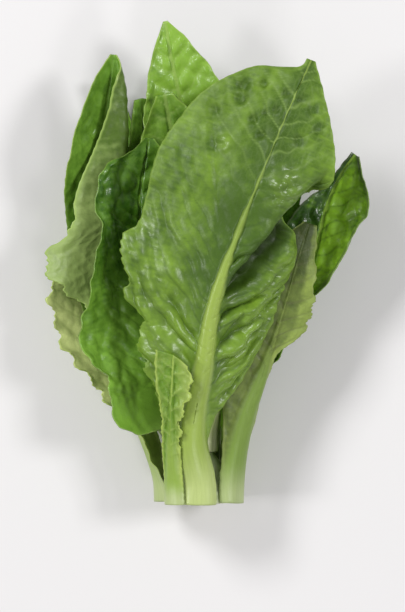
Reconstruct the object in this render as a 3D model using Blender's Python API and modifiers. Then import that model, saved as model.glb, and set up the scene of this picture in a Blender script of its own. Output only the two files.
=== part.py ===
"""A cut head of romaine lettuce, lying on its back leaves.

The head grows along +Y from its cut stem, X runs across it and Z is up, with the surface it
lies on at Z = 0. Sizes below are millimetres and degrees; the meshes are in metres.
A leaf is a sheet swept along its rib. Its inner face is the sheet, and the thickness and the
rib stand out on its outer face. The leaves are laid round the stem from the heart outwards,
and each one is eased off those inside it, so that no two of them cross.
"""

import math

import bmesh
import bpy
import numpy as np
from mathutils.bvhtree import BVHTree

MM = 0.001

# Driving sizes
AXIS_HEIGHT = 34.0  # the stem's axis above the surface
STEM_LENGTH = 56.0
BLADE = 1.0  # thickness of a blade away from its rib
CLEARANCE = 2.2  # least gap between two leaves
BESIDE = 3.4  # between two margins, or two inner faces
ROOT_GAP = 0.8  # between the stem and the foot of a leaf
PRESSED = 0.4  # the leaves below are pressed flat where they come this near to the surface
FOOT_LENGTH = 14.0  # how far a foot runs along the stem
FOOT_SPREAD = 0.8  # and how far it leans out there
TOUCHING = 1e-3
NEAR = 11.0  # leaves further apart than this don't touch
ALIKE = 0.5  # leaves that face across each other by more than this cosine only meet by their margins
FOOT_FREE = 38.0  # below this height the rings keep the leaves clear
FOOT_HELD = 4.0  # the first of a foot can't move at all
FOOT_EASE = 14.0  # over this much more of its foot a leaf gains its freedom to move
EASING_TURNS = 16  # rounds in which a leaf is eased off the others
SMOOTHED_TURNS = 11  # of which the first ones also smooth the whole shift
TOOTH_REACH = 6  # power that keeps teeth to the margin
TOOTH_FADE = 0.04  # share of the length over which a run of teeth begins and ends
RIB_WIDTHS = (11.0, 2.5)  # half width of a rib's swelling at its foot and at its tip
COLUMN_POWER = 1.25  # above 1 the grid is finer beside the rib
SWEEP = [(0, 0), (0.3, 0.25), (0.7, 0.15), (1, 0)]  # how far the rows of a blade lean towards its tip

# The leaves stand on the stem in rings: distance from its axis, and where along it they start
RINGS = {
    "bract": {"radius": 33.5, "start": 0.6, "rib": 3.0},
    "outer": {"radius": 25.8, "start": 0.6, "rib": 6.2},
    "middle": {"radius": 17.2, "start": 22.0, "rib": 5.0},
    "inner": {"radius": 9.8, "start": 36.5, "rib": 4.0},
    "heart": {"radius": 4.2, "start": 48.0, "rib": 2.6},
}

# From the heart outwards. path: points of the rib beyond its foot, (x, y, height).
# facing: (share of the length, direction of the inner face round Y, 0 up and 90 to +X).
# left, right: half widths. rise: slope of the blade beside the rib. roll: how far it bends
# towards its inner face, bend: the stretch of the half width where it does.
LEAVES = {
    "heart_core": {
        "ring": "heart", "angle": -60,
        "path": [(-5, 85, 44), (-7, 120, 50), (-8, 150, 54), (-6, 172, 55)],
        "facing": [(0, 120), (0.4, 40), (1, 15)],
        "left": [(0, 4), (0.3, 8), (0.6, 17), (0.85, 13), (1, 1.5)],
        "right": [(0, 4), (0.3, 8), (0.6, 17), (0.85, 13), (1, 1.5)],
        "roll": [(0.5, 80), (1, 40)],
        "rows": 10, "columns": 4,
    },
    "heart_front": {
        "ring": "inner", "angle": 20,
        "path": [(8, 75, 58), (12, 115, 66), (14, 150, 70), (12, 185, 70)],
        "facing": [(0, 200), (1, 185)],
        "left": [(0, 8), (0.3, 12), (0.6, 25), (0.85, 18), (1, 1.5)],
        "right": [(0, 8), (0.3, 12), (0.6, 25), (0.85, 18), (1, 1.5)],
        "roll": [(0.5, 80), (1, 40)],
        "rows": 12, "columns": 5,
    },
    "leaf_left_broad": {
        "ring": "inner", "angle": -105,
        "path": [(-19, 75, 37), (-33, 122, 38), (-41, 171, 40), (-43, 215, 44), (-36, 258, 48)],
        "facing": [(0, 75), (0.12, 35), (0.25, 22), (0.6, 20), (1, 10)],
        "left": [(0, 8), (0.06, 12), (0.1, 22), (0.13, 44), (0.16, 54), (0.21, 53), (0.25, 50), (0.285, 59),
                 (0.38, 61), (0.46, 58), (0.55, 54), (0.7, 44), (0.85, 36), (0.95, 24), (1, 12)],
        "right": [(0, 7), (0.1, 8), (0.25, 34), (0.5, 46), (0.75, 44), (0.9, 26), (1, 4)],
        "rise_left": [(0, 0), (0.2, -6), (0.4, -4), (0.6, 4), (1, 0)],
        "roll_left": [(0.2, 40), (0.4, 50), (0.7, 55), (1, 20)],
        "roll_right": [(0.3, 55), (0.7, 50), (1, 20)],
        "wave": (2.0, 4.5, 0.1),
        "sweep_left": [(0, 0), (0.3, 0.25), (0.7, 0.1), (0.85, -0.12), (1, -0.3)],
        "crowd": [(0, 0), (0.38, 0.28), (1, 1)],
        "rows": 23, "columns": 7,
        "rows": 20, "columns": 7,
    },
    "leaf_inner": {
        "ring": "inner", "angle": 155,
        "path": [(4, 75, 27), (0, 125, 29), (-7, 175, 33), (-14, 225, 38), (-20, 262, 46), (-25, 288, 54)],
        "facing": [(0, 335), (0.4, 355), (1, 360)],
        "left": [(0, 6), (0.15, 7), (0.3, 11), (0.6, 24), (0.9, 20), (1, 6)],
        "right": [(0, 8), (0.3, 13), (0.6, 28), (0.9, 24), (1, 6)],
        "roll_left": [(0.5, 15), (1, 20)],
        "roll_right": [(0.5, 50), (1, 30)],
        "rows": 14, "columns": 5,
    },
    "leaf_top": {
        "ring": "middle", "angle": 172,
        "path": [(-1, 70, 18), (-2, 130, 19), (-4, 200, 23), (-9, 255, 31), (-15, 290, 38), (-21, 318, 45),
                 (-24.5, 340, 50)],
        "facing": [(0, 352), (0.5, 360), (1, 365)],
        "left": [(0, 7), (0.15, 12), (0.4, 30), (0.7, 36), (0.84, 24), (0.92, 15), (0.97, 7), (1, 1.2)],
        "right": [(0, 11), (0.15, 14), (0.4, 30), (0.7, 42), (0.84, 32), (0.92, 20), (0.97, 10), (1, 1.2)],
        "sweep": [(0, 0), (0.4, 0.3), (1, 0)],
        "wave": (2, 4, 0.3),
        "roll_left": [(0.4, 25), (0.8, 25), (1, 20)],
        "roll_right": [(0.4, 50), (0.8, 40), (1, 20)],
        "rows": 18, "columns": 5,
    },
    "leaf_middle": {
        "ring": "middle", "angle": -128,
        "path": [(-18, 75, 21), (-26, 130, 23), (-33, 190, 26), (-38, 245, 35), (-40, 286, 44)],
        "facing": [(0, 52), (0.4, 20), (1, 8)],
        "left": [(0, 5), (0.2, 6), (0.4, 12), (0.7, 15), (0.9, 18), (1, 9)],
        "right": [(0, 5), (0.15, 8), (0.4, 22), (0.7, 24), (0.9, 15), (1, 7)],
        "sweep": [(0, 0), (0.4, 0.3), (1, -0.1)],
        "wave": (2.5, 4, 0.6),
        "roll_left": [(0.4, 40), (1, 30)],
        "roll_right": [(0.4, 5), (0.8, 15), (1, 25)],
        "rows": 14, "columns": 5,
    },
    "leaf_right_tip": {
        "ring": "middle", "angle": 98,
        "path": [(28, 60, 31), (42, 101, 34), (64, 143, 37), (82, 180, 42), (90, 211, 47), (100, 233, 51),
                 (109, 246, 53)],
        "facing": [(0, 278), (0.3, 310), (0.7, 335), (1, 330)],
        "left": [(0, 7), (0.15, 9), (0.4, 20), (0.7, 27), (0.8, 20), (0.88, 7), (1, 2.5)],
        "right": [(0, 10), (0.15, 9), (0.3, 7), (0.42, 9), (0.55, 18), (0.7, 29), (0.8, 35), (0.87, 39),
                  (0.93, 30), (1, 4)],
        "sweep": [(0, 0), (0.5, 0.2), (0.8, 0.1), (1, 0)],
        "rise": [(0, 0), (0.4, 5), (1, 5)],
        "roll": [(0.4, 40), (1, 45)],
        "wave": (1.5, 4, 0),
        "rows": 18, "columns": 6,
    },
    "leaf_left_rolled": {
        "ring": "middle", "angle": -66,
        "path": [(-30, 62, 37), (-51, 108, 33), (-69, 143, 32), (-77, 178, 34), (-77, 213, 37),
                 (-71, 248, 42), (-66, 283, 48), (-61, 316, 54)],
        "facing": [(0, 114), (0.12, 75), (0.25, 40), (0.5, 15), (1, 12)],
        "left": [(0, 10), (0.1, 9), (0.25, 9), (0.36, 15), (0.6, 17), (0.77, 27), (0.83, 27), (0.88, 22),
                 (0.95, 13), (1, 2)],
        "right": [(0, 6), (0.15, 8), (0.28, 16), (0.35, 24), (0.43, 48), (0.475, 62), (0.5, 75), (0.53, 80),
                  (0.56, 75), (0.61, 53), (0.77, 46), (0.875, 35), (0.95, 20), (1, 2)],
        "sweep": [(0, 0), (0.3, 0), (1, 0)],
        "rise_left": [(0, 0), (0.4, 0), (0.62, 2), (0.75, 18), (1, 20)],
        "roll_left": [(0.4, 0), (0.62, 10), (0.75, 30), (1, 30)],
        "roll_right": [(0.28, 50), (0.36, 100), (0.43, 165), (0.5, 168), (0.64, 170), (0.875, 178),
                       (0.95, 150), (1, 60)],
        "bend_right": [(0, 0, 1), (0.28, 0.1, 0.8), (0.36, 0.15, 0.4), (0.43, 0.17, 0.26), (0.5, 0.17, 0.17),
                       (0.55, 0.18, 0.17), (0.61, 0.29, 0.24), (0.77, 0.34, 0.28), (0.875, 0.32, 0.37),
                       (1, 0.2, 0.6)],
        "teeth_right": (5.0, 0.4, 0.64),
        "crowd": [(0, 0), (0.28, 0.36), (0.68, 0.64), (1, 1)],
        "rows": 30, "columns": 9,
    },
    "leaf_right_pale": {
        "ring": "outer", "angle": 58,
        "path": [(32, 62, 52), (40, 84, 57), (50, 112, 62), (60, 143, 66), (69, 175, 68), (76, 197, 66)],
        "facing": [(0, 238), (0.2, 218), (0.45, 200), (1, 192)],
        "hand": -1,
        "left": [(0, 12), (0.2, 13), (0.4, 24), (0.7, 30), (0.9, 18), (1, 4)],
        "right": [(0, 14), (0.2, 10), (0.46, 6), (0.55, 7), (0.59, 15), (0.63, 20), (0.7, 20), (0.78, 17),
                  (0.88, 13), (1, 6)],
        "roll": [(0.3, 20), (1, 15)],
        "wave": (2, 4, 0.2),
        "teeth_right": (2.5, 0.6, 0.95),
        "rise_right": [(0, 0), (0.35, 0), (0.55, -8), (1, -6)],
        "crowd": [(0, 0), (0.3, 0.45), (0.8, 0.76), (1, 1)],
        "rows": 22, "columns": 5,
        "rows": 18, "columns": 5,
    },
    "leaf_back_left": {
        "ring": "outer", "angle": -158,
        "path": [(-18, 62, 5), (-32, 115, 2), (-46, 175, 0), (-56, 235, 2), (-62, 280, 12), (-65, 304, 22)],
        "facing": [(0, 22), (0.5, 8), (1, 15)],
        "left": [(0, 12), (0.15, 16), (0.4, 32), (0.65, 26), (0.85, 16), (1, 3)],
        "right": [(0, 12), (0.15, 16), (0.4, 38), (0.65, 36), (0.85, 18), (1, 3)],
        "rise": [(0, 0), (0.4, 4), (1, 20)],
        "roll": [(0.4, 50), (1, 60)],
        "wave": (2.5, 4, 0.5),
        "rows": 16, "columns": 5,
    },
    "leaf_back_right": {
        "ring": "outer", "angle": 142,
        "path": [(23, 62, 6), (34, 115, 2), (45, 175, 0), (52, 230, 2), (54, 272, 14)],
        "facing": [(0, 322), (0.5, 350), (1, 345)],
        "left": [(0, 12), (0.15, 16), (0.4, 38), (0.65, 44), (0.87, 30), (1, 3)],
        "right": [(0, 11), (0.15, 13), (0.4, 34), (0.65, 38), (0.87, 26), (1, 3)],
        "rise": [(0, 0), (0.4, 4), (1, 10)],
        "roll": [(0.4, 50), (1, 50)],
        "wave": (2.5, 4, 0.8),
        "rows": 16, "columns": 5,
    },
    "leaf_left_low": {
        "ring": "outer", "angle": -100,
        "path": [(-36, 45, 28), (-54, 80, 24), (-68, 112, 22), (-75, 145, 20), (-78, 180, 20), (-79, 215, 22),
                 (-79, 238, 24)],
        "facing": [(0, 80), (0.4, 40), (1, 40)],
        "left": [(0, 18), (0.15, 15), (0.3, 20), (0.42, 31), (0.5, 36), (0.56, 38), (0.61, 44), (0.66, 35),
                 (0.72, 22), (0.85, 15), (1, 2)],
        "right": [(0, 12), (0.15, 15), (0.35, 26), (0.6, 30), (0.85, 18), (1, 2)],
        "roll": [(0.4, 10), (1, 30)],
        "wave": (3.0, 5, 0.2),
        "teeth": (4.5, 0.26, 0.7),
        "crowd": [(0, 0), (0.2, 0.26), (0.8, 0.7), (1, 1)],
        "rows": 26, "columns": 5,
    },
    "leaf_front": {
        "ring": "outer", "angle": -2,
        "path": [(-6, 45, 70), (3, 101, 84), (10, 143, 93), (26, 189, 100), (46, 238, 103), (65, 283, 101),
                 (76, 307, 98)],
        "facing": [(0, 178), (0.4, 180), (1, 180)],
        "hand": -1,
        "left": [(0, 18), (0.1, 14), (0.2, 24), (0.31, 46), (0.345, 50), (0.38, 46), (0.43, 64), (0.46, 64),
                 (0.5, 75), (0.545, 69), (0.6, 70), (0.76, 71), (0.9, 48), (0.97, 20), (1, 3)],
        "right": [(0, 12), (0.1, 12), (0.2, 18), (0.31, 43), (0.38, 50), (0.45, 55), (0.52, 57), (0.59, 53),
                  (0.64, 48), (0.68, 39), (0.76, 47), (0.83, 41), (0.9, 28), (0.97, 11), (1, 3)],
        "sweep": [(0, 0), (1, 0)],
        "rise_left": [(0, 0), (0.4, 4), (1, 4)],
        "roll_left": [(0.3, 20), (0.7, 14), (1, 12)],
        "rise_right": [(0, 0), (0.4, 8), (1, 0)],
        "roll_right": [(0.2, 55), (0.35, 52), (0.5, 45), (0.6, 45), (0.68, 40), (0.74, 15), (1, 10)],
        "wave": (2.5, 5, 0.35),
        "teeth_left": (4.0, 0.2, 0.55),
        "pleat_right": (9, 0.45, 0.2, 0.06),
        "crowd": [(0, 0), (0.15, 0.2), (0.6, 0.55), (1, 1)],
        "rows": 30, "columns": 9,
    },
    "leaf_small_front": {
        "ring": "bract", "angle": -32,
        "path": [(-20, 45, 74), (-19.5, 78, 88), (-18, 106, 97)],
        "facing": [(0, 148), (0.5, 165), (1, 175)],
        "hand": -1,
        "left": [(0, 8), (0.3, 7), (0.6, 7), (0.85, 12), (1, 13)],
        "right": [(0, 8), (0.3, 7), (0.6, 8), (0.8, 13), (0.94, 14), (1, 11)],
        "roll": [(0.5, -20), (1, -30)],
        "teeth": (2.0, 0.35, 0.95),
        "sweep_left": [(0, 0), (0.8, 0.1), (1, 0.3)],
        "sweep_right": [(0, 0), (0.6, -0.2), (1, -0.6)],
        "rows": 14, "columns": 4,
    },
}

COLOURS = {"stem": (0.62, 0.68, 0.42), "heart": (0.42, 0.58, 0.16), "leaf": (0.10, 0.25, 0.04)}


def smooth(keys, at):
    """A smooth curve through keys, each a place and its value or values, read at the places in `at`."""
    table = np.array([[key[0], *np.ravel(key[1:])] for key in keys], float)
    place, value = table[:, 0], table[:, 1:]
    slope = np.gradient(value, place, axis=0)
    low = np.clip(np.searchsorted(place, at, side="right") - 1, 0, len(place) - 2)
    gap = (place[low + 1] - place[low])[:, None]
    f = (at - place[low])[:, None] / gap
    found = (
        (1 + 2 * f) * (1 - f) ** 2 * value[low]
        + f * (1 - f) ** 2 * gap * slope[low]
        + f * f * (3 - 2 * f) * value[low + 1]
        + f * f * (f - 1) * gap * slope[low + 1]
    )
    return found[:, 0] if found.shape[1] == 1 else found


def unit(vectors):
    return vectors / np.linalg.norm(vectors, axis=-1, keepdims=True)


def rib_points(leaf):
    """The rib's points, from its foot on the stem to the leaf's tip."""
    ring = RINGS[leaf["ring"]]
    angle = math.radians(leaf["angle"])
    foot = []
    for along, spread in ((0, 0), (FOOT_LENGTH, FOOT_SPREAD)):
        radius = ring["radius"] + spread
        x, z = radius * math.sin(angle), AXIS_HEIGHT + radius * math.cos(angle)
        foot.append((x, ring["start"] + along, z))
    return np.array(foot + leaf["path"], float)


def rib_along(leaf, along):
    """Points and directions of the rib, at shares of its length."""
    points = rib_points(leaf)
    steps = np.linalg.norm(np.diff(points, axis=0), axis=1)
    place = np.concatenate([[0], np.cumsum(steps)]) / steps.sum()
    keys = [(p, *xyz) for p, xyz in zip(place, points)]
    small = 1e-3
    ahead = smooth(keys, np.minimum(along + small, 1))
    behind = smooth(keys, np.maximum(along - small, 0))
    return smooth(keys, along), unit(ahead - behind)


def side_value(leaf, word, side, default):
    """What a leaf says for one side, or else for both."""
    return leaf.get(f"{word}_{side}", leaf.get(word, default))


def cross_section(leaf, side, along, width):
    """Across one half of the blade, by row and column: how far out and up it is, and its slope."""
    fine = np.linspace(0, 1, 81)
    foot_roll = math.degrees(width[0] / RINGS[leaf["ring"]]["radius"])  # hugs the stem
    rise = np.radians(smooth(side_value(leaf, "rise", side, [(0, 0), (1, 0)]), along))
    roll = np.radians(smooth([(0, foot_roll)] + side_value(leaf, "roll", side, [(1, 0)]), along))
    bend = smooth(side_value(leaf, "bend", side, [(0, 0, 1), (1, 0, 1)]), along)
    share = np.clip((fine[None, :] - bend[:, :1]) / bend[:, 1:], 0, 1)
    slope = rise[:, None] + roll[:, None] * share
    middle = (slope[:, 1:] + slope[:, :-1]) / 2
    step = width[:, None] / (len(fine) - 1)
    zero = np.zeros((len(along), 1))
    out = np.concatenate([zero, np.cumsum(np.cos(middle) * step, axis=1)], axis=1)
    up = np.concatenate([zero, np.cumsum(np.sin(middle) * step, axis=1)], axis=1)
    columns = (np.arange(leaf["columns"] + 1) / leaf["columns"]) ** COLUMN_POWER

    def pick(values):
        return np.array([np.interp(columns, fine, row) for row in values])

    return columns, pick(out), pick(up), pick(slope)


def row_shares(leaf, steps):
    """Shares of the rib's length for evenly counted rows, closer together where the leaf says so."""
    crowded = np.array(leaf.get("crowd", [(0, 0), (1, 1)]))
    return np.interp(np.linspace(0, 1, steps + 1), crowded[:, 0], crowded[:, 1])


def teeth(leaf, side, along):
    """How far the margin stands in or out: a tooth for every two rows, none quite like the next."""
    depth, first, last = side_value(leaf, "teeth", side, (0, 0, 1))
    crowded = np.array(leaf.get("crowd", [(0, 0), (1, 1)]))
    row = np.interp(along, crowded[:, 1], crowded[:, 0]) * leaf["rows"]
    inside = np.clip(np.minimum(along - first, last - along) / TOOTH_FADE, 0, 1)
    size = 0.7 + 0.3 * np.sin(row * 1.9)
    return depth * size * inside * (1 - 2 * np.abs(np.mod(row, 2) - 1))


def half_sheet(leaf, side, sign, along, rib, tangent, inward, across):
    """Points and thickness of one half of the blade, row by row, from the rib outwards."""
    width = np.maximum(smooth(leaf[side], along), 0.8)
    columns, out, up, slope = cross_section(leaf, side, along, width)
    reach = columns[None, :] * width[:, None]
    edge = teeth(leaf, side, along)[:, None] * columns[None, :] ** TOOTH_REACH
    out = out + edge * np.cos(slope)
    up = up + edge * np.sin(slope)
    face = inward[:, None] * np.cos(slope)[..., None] - sign * across[:, None] * np.sin(slope)[..., None]
    height, waves, phase = leaf.get("wave", (0, 1, 0))
    fade = np.sin(np.pi * np.clip(along, 0, 1)) ** 0.6
    turn = 2 * np.pi * (waves * along + phase + (0.4 if sign > 0 else 0))
    wave = (height * fade * np.sin(turn))[:, None] * columns[None, :] ** 2
    depth, first, lean, span = side_value(leaf, "pleat", side, (0, 0, 0, 1))
    step = np.clip((along[:, None] - first - lean * columns[None, :]) / span + 0.5, 0, 1)
    held = np.clip(np.minimum((along - 0.15) / 0.25, (1 - along) / 0.2), 0, 1)[:, None]
    pleat = depth * held * (step * step * (3 - 2 * step) - 0.5) * columns[None, :] ** 0.7
    forward = smooth(side_value(leaf, "sweep", side, SWEEP), along)[:, None] * reach
    points = (
        rib[:, None]
        + sign * across[:, None] * out[..., None]
        + inward[:, None] * up[..., None]
        + tangent[:, None] * forward[..., None]
        + face * (wave - pleat)[..., None]
    )
    rib_height = RINGS[leaf["ring"]]["rib"] * (1 - along) ** 1.3
    rib_width = RIB_WIDTHS[1] + (RIB_WIDTHS[0] - RIB_WIDTHS[1]) * (1 - along) ** 1.5
    thick = BLADE + rib_height[:, None] * np.exp(-((reach / rib_width[:, None]) ** 2))
    return points, thick


def leaf_sheet(leaf):
    """The leaf's inner face as rows of points from left margin to right, and the thickness at each."""
    along = row_shares(leaf, leaf["rows"])
    rib, tangent = rib_along(leaf, along)
    facing = np.radians(smooth(leaf["facing"], along))
    inward = np.stack([np.sin(facing), 0 * facing, np.cos(facing)], axis=1)
    inward = unit(inward - tangent * np.sum(inward * tangent, axis=1, keepdims=True))
    across = np.cross(tangent, inward) * leaf.get("hand", 1)
    frame = (along, rib, tangent, inward, across)
    left, thick_left = half_sheet(leaf, "left", -1, *frame)
    right, thick_right = half_sheet(leaf, "right", 1, *frame)
    points = np.concatenate([left[:, :0:-1], right], axis=1)
    thick = np.concatenate([thick_left[:, :0:-1], thick_right], axis=1)
    return points, thick, inward


def grid_triangles(rows, columns, hand):
    """Corners of the triangles of a grid of points, with the inner face in front."""
    found = []
    for i in range(rows):
        for j in range(columns):
            a = i * (columns + 1) + j
            b, c, d = a + 1, a + columns + 2, a + columns + 1
            pair = [(a, b, c), (a, c, d)]
            found += pair if hand > 0 else [t[::-1] for t in pair]
    return found


def blurred(grid):
    """The grid with each value moved to the mean of itself and its neighbours."""
    padded = np.pad(grid, ((1, 1), (1, 1), (0, 0)), mode="edge")
    return (
        2 * grid + padded[:-2, 1:-1] + padded[2:, 1:-1] + padded[1:-1, :-2] + padded[1:-1, 2:]
    ) / 6


def push_off(points, thick, inward, placed):
    """How far each point has to move to stay clear of the leaves already placed and above the surface.

    Where two leaves face the same way the new one lies outside, and where they face each other
    it stays on the inner side.
    """
    push = np.zeros_like(points)
    flat = points.reshape(-1, 3)
    for tree, other_thick, other_inward, low, high, corners in placed:
        faces_a_row = len(corners) // (len(other_inward) - 1)
        near = np.all((flat > low - NEAR) & (flat < high + NEAR), axis=1) & (flat[:, 1] > FOOT_FREE)
        for k in np.nonzero(near)[0]:
            spot, normal, face, distance = tree.find_nearest(flat[k], NEAR)
            if spot is None:
                continue
            i, j = divmod(k, points.shape[1])
            facing = other_inward[face // faces_a_row]
            outward = -np.array(normal) * (1 if np.dot(normal, facing) > 0 else -1)
            need = CLEARANCE + other_thick[list(corners[face])].max()
            alike = np.dot(inward[i], facing)
            if alike < 0:
                outward, need = -outward, BESIDE
            away = np.array(flat[k]) - np.array(spot)
            depth = float(np.dot(away, outward))
            beyond_its_edge = distance > TOUCHING and abs(depth) < distance / 2
            beside = abs(alike) < ALIKE or beyond_its_edge
            if beside and distance < BESIDE:
                move = away / distance * (BESIDE - distance)
            elif not beside and depth < need:
                move = outward * (need - depth)
            else:
                continue
            if np.linalg.norm(move) > np.linalg.norm(push[i, j]):
                push[i, j] = move
    push[..., 2] += np.maximum(thick - points[..., 2], 0)
    return push


def laid_out():
    """Every leaf's sheet, eased off those inside it, from the heart outwards."""
    placed, sheets = [], {}
    for name, leaf in LEAVES.items():
        points, thick, inward = leaf_sheet(leaf)
        design = points.copy()
        free = np.clip((design[..., 1:2] - RINGS[leaf["ring"]]["start"] - FOOT_HELD) / FOOT_EASE, 0, 1)
        for turn in range(EASING_TURNS):
            push = push_off(points, thick, inward, placed)
            if np.abs(push).max() < TOUCHING:
                break
            spread = blurred(blurred(push))
            moved = np.linalg.norm(push, axis=2, keepdims=True) > 0
            points = points + np.where(moved, push, spread) * free
            if turn < SMOOTHED_TURNS:
                shift = points - design
                points = design + (shift + blurred(shift)) / 2
        corners = grid_triangles(points.shape[0] - 1, points.shape[1] - 1, leaf.get("hand", 1))
        flat = points.reshape(-1, 3)
        tree = BVHTree.FromPolygons(flat.tolist(), corners)
        placed.append((tree, thick.ravel(), inward, flat.min(0), flat.max(0), corners))
        sheets[name] = (points, thick)
    return sheets


def material(name, colour, roughness):
    made = bpy.data.materials.new(name)
    made.use_nodes = True
    shader = made.node_tree.nodes["Principled BSDF"]
    shader.inputs["Base Color"].default_value = (*colour, 1)
    shader.inputs["Roughness"].default_value = roughness
    return made


def add_object(name, mesh, collection, finish):
    obj = bpy.data.objects.new(name, mesh)
    collection.objects.link(obj)
    mesh.materials.append(finish)
    mesh.shade_smooth()
    return obj


def add_leaf(name, points, thick, hand, collection, finish):
    """A grid bent to the sheet, then thickened on its outer face."""
    rows, columns = points.shape[0] - 1, points.shape[1] - 1
    bm = bmesh.new()
    bmesh.ops.create_grid(bm, x_segments=columns, y_segments=rows, size=1)
    bm.verts.ensure_lookup_table()
    for index, vertex in enumerate(bm.verts):
        vertex.co = points[index // (columns + 1), index % (columns + 1)] * MM
    if hand < 0:
        bmesh.ops.reverse_faces(bm, faces=bm.faces)
    bmesh.ops.triangulate(bm, faces=bm.faces, quad_method="FIXED")
    mesh = bpy.data.meshes.new(name)
    bm.to_mesh(mesh)
    bm.free()
    obj = add_object(name, mesh, collection, finish)
    most = float(thick.max())
    weights = obj.vertex_groups.new(name="thickness")
    for index, value in enumerate(thick.ravel()):
        weights.add([index], float(value) / most, "REPLACE")
    shell = obj.modifiers.new("blade", "SOLIDIFY")
    shell.thickness = most * MM
    shell.offset = -1
    shell.vertex_group = weights.name
    shell.use_even_offset = False
    return obj


def add_stem(collection, finish):
    """The cut stem: a stepped cone on which the rings of leaves stand."""
    outer, middle = RINGS["outer"], RINGS["middle"]
    inner, heart = RINGS["inner"], RINGS["heart"]
    profile = [
        (0, 0),
        (outer["radius"] - ROOT_GAP - 1.5, 0),
        (outer["radius"] - ROOT_GAP, 1.5),
        (outer["radius"] - ROOT_GAP - 0.3, 8),
        (middle["radius"] - ROOT_GAP, middle["start"] - 1),
        (middle["radius"] - ROOT_GAP - 0.3, middle["start"] + 4),
        (inner["radius"] - ROOT_GAP, inner["start"] - 1),
        (inner["radius"] - ROOT_GAP - 0.2, inner["start"] + 4),
        (heart["radius"] - ROOT_GAP, heart["start"] - 1),
        (heart["radius"] - ROOT_GAP - 0.4, STEM_LENGTH - 3),
        (0, STEM_LENGTH),
    ]
    mesh = bpy.data.meshes.new("stem")
    corners = [(radius * MM, along * MM, 0) for radius, along in reversed(profile)]
    mesh.from_pydata(corners, [(k, k + 1) for k in range(len(corners) - 1)], [])
    axis = bpy.data.objects.new("stem_axis", None)
    axis.location = (0, 0, AXIS_HEIGHT * MM)
    collection.objects.link(axis)
    obj = add_object("stem", mesh, collection, finish)
    obj.parent = axis
    turned = obj.modifiers.new("turned", "SCREW")
    turned.axis = "Y"
    turned.steps = turned.render_steps = 24
    turned.use_merge_vertices = True
    turned.merge_threshold = 0.01 * MM
    return axis, obj


def settled(objects):
    """Applies the modifiers, presses the lowest spots flat, and centres the head over the origin."""
    bpy.context.view_layer.update()
    graph = bpy.context.evaluated_depsgraph_get()
    corners = []
    for obj in objects:
        mesh = bpy.data.meshes.new_from_object(obj.evaluated_get(graph))
        obj.modifiers.clear()
        obj.data = mesh
        if obj.parent is None:
            for vertex in mesh.vertices:
                vertex.co.z = max(vertex.co.z, PRESSED * MM)
        corners += [obj.matrix_world @ vertex.co for vertex in mesh.vertices]
    low, high = np.min(corners, axis=0), np.max(corners, axis=0)
    return (low[0] + high[0]) / 2, (low[1] + high[1]) / 2, PRESSED * MM


def main():
    for old in list(bpy.data.objects):
        bpy.data.objects.remove(old)
    head = bpy.data.collections.new("romaine_head")
    bpy.context.scene.collection.children.link(head)
    stem_finish = material("stem", COLOURS["stem"], 0.5)
    heart_finish = material("heart", COLOURS["heart"], 0.42)
    leaf_finish = material("leaf", COLOURS["leaf"], 0.38)
    axis, stem = add_stem(head, stem_finish)
    leaves = []
    for name, (points, thick) in laid_out().items():
        finish = heart_finish if name.startswith("heart") else leaf_finish
        leaves.append(add_leaf(name, points, thick, LEAVES[name].get("hand", 1), head, finish))
    middle_x, middle_y, floor = settled([stem] + leaves)
    for placed in [axis] + leaves:
        placed.location.x -= middle_x
        placed.location.y -= middle_y
        placed.location.z -= floor


main()
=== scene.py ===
import math

import bpy
import numpy as np
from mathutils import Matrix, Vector
from mathutils.bvhtree import BVHTree


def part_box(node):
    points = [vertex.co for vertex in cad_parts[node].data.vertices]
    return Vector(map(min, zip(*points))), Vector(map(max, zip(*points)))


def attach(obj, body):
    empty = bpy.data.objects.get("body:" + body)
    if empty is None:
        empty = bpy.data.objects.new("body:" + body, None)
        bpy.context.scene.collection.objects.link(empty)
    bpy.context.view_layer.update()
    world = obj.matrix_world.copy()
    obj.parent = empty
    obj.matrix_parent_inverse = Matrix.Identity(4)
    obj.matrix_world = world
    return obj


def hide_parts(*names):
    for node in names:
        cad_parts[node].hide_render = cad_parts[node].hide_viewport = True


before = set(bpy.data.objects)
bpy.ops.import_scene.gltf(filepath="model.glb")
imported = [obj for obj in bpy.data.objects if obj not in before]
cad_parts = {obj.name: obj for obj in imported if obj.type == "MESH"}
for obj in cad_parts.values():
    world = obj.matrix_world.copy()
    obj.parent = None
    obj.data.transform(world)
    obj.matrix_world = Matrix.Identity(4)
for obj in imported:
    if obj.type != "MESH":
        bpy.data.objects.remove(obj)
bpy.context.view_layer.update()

mm = 0.001

# Sizes are millimetres and degrees. The head grows along +Y from its cut stem at y = 0,
# x runs across it and z is the height over the surface that it lies on.
head = {
    "axisHeight": 34.0,
    "blade": 1.0,  # thickness away from the rib
    "clearance": 2.2,  # between two leaves
    "beside": 3.4,  # between two margins
    "rootGap": 0.8,
    "pressed": 0.4,
    "footLength": 14.0,
    "footSpread": 0.8,
    "near": 11.0,
    "touching": 1e-3,
    "alike": 0.5,
    "footFree": 38.0,
    "footHeld": 4.0,
    "footEase": 14.0,
    "toothFade": 0.04,
    "ribWidths": (11.0, 2.5),
    "columnPower": 1.25,
    "easingTurns": 16,
    "smoothedTurns": 11,
}

rings = {
    "bract": {"radius": 33.5, "start": 0.6, "rib": 3.0},
    "outer": {"radius": 25.8, "start": 0.6, "rib": 6.2},
    "middle": {"radius": 17.2, "start": 22.0, "rib": 5.0},
    "inner": {"radius": 9.8, "start": 36.5, "rib": 4.0},
    "heart": {"radius": 4.2, "start": 48.0, "rib": 2.6},
}

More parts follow.
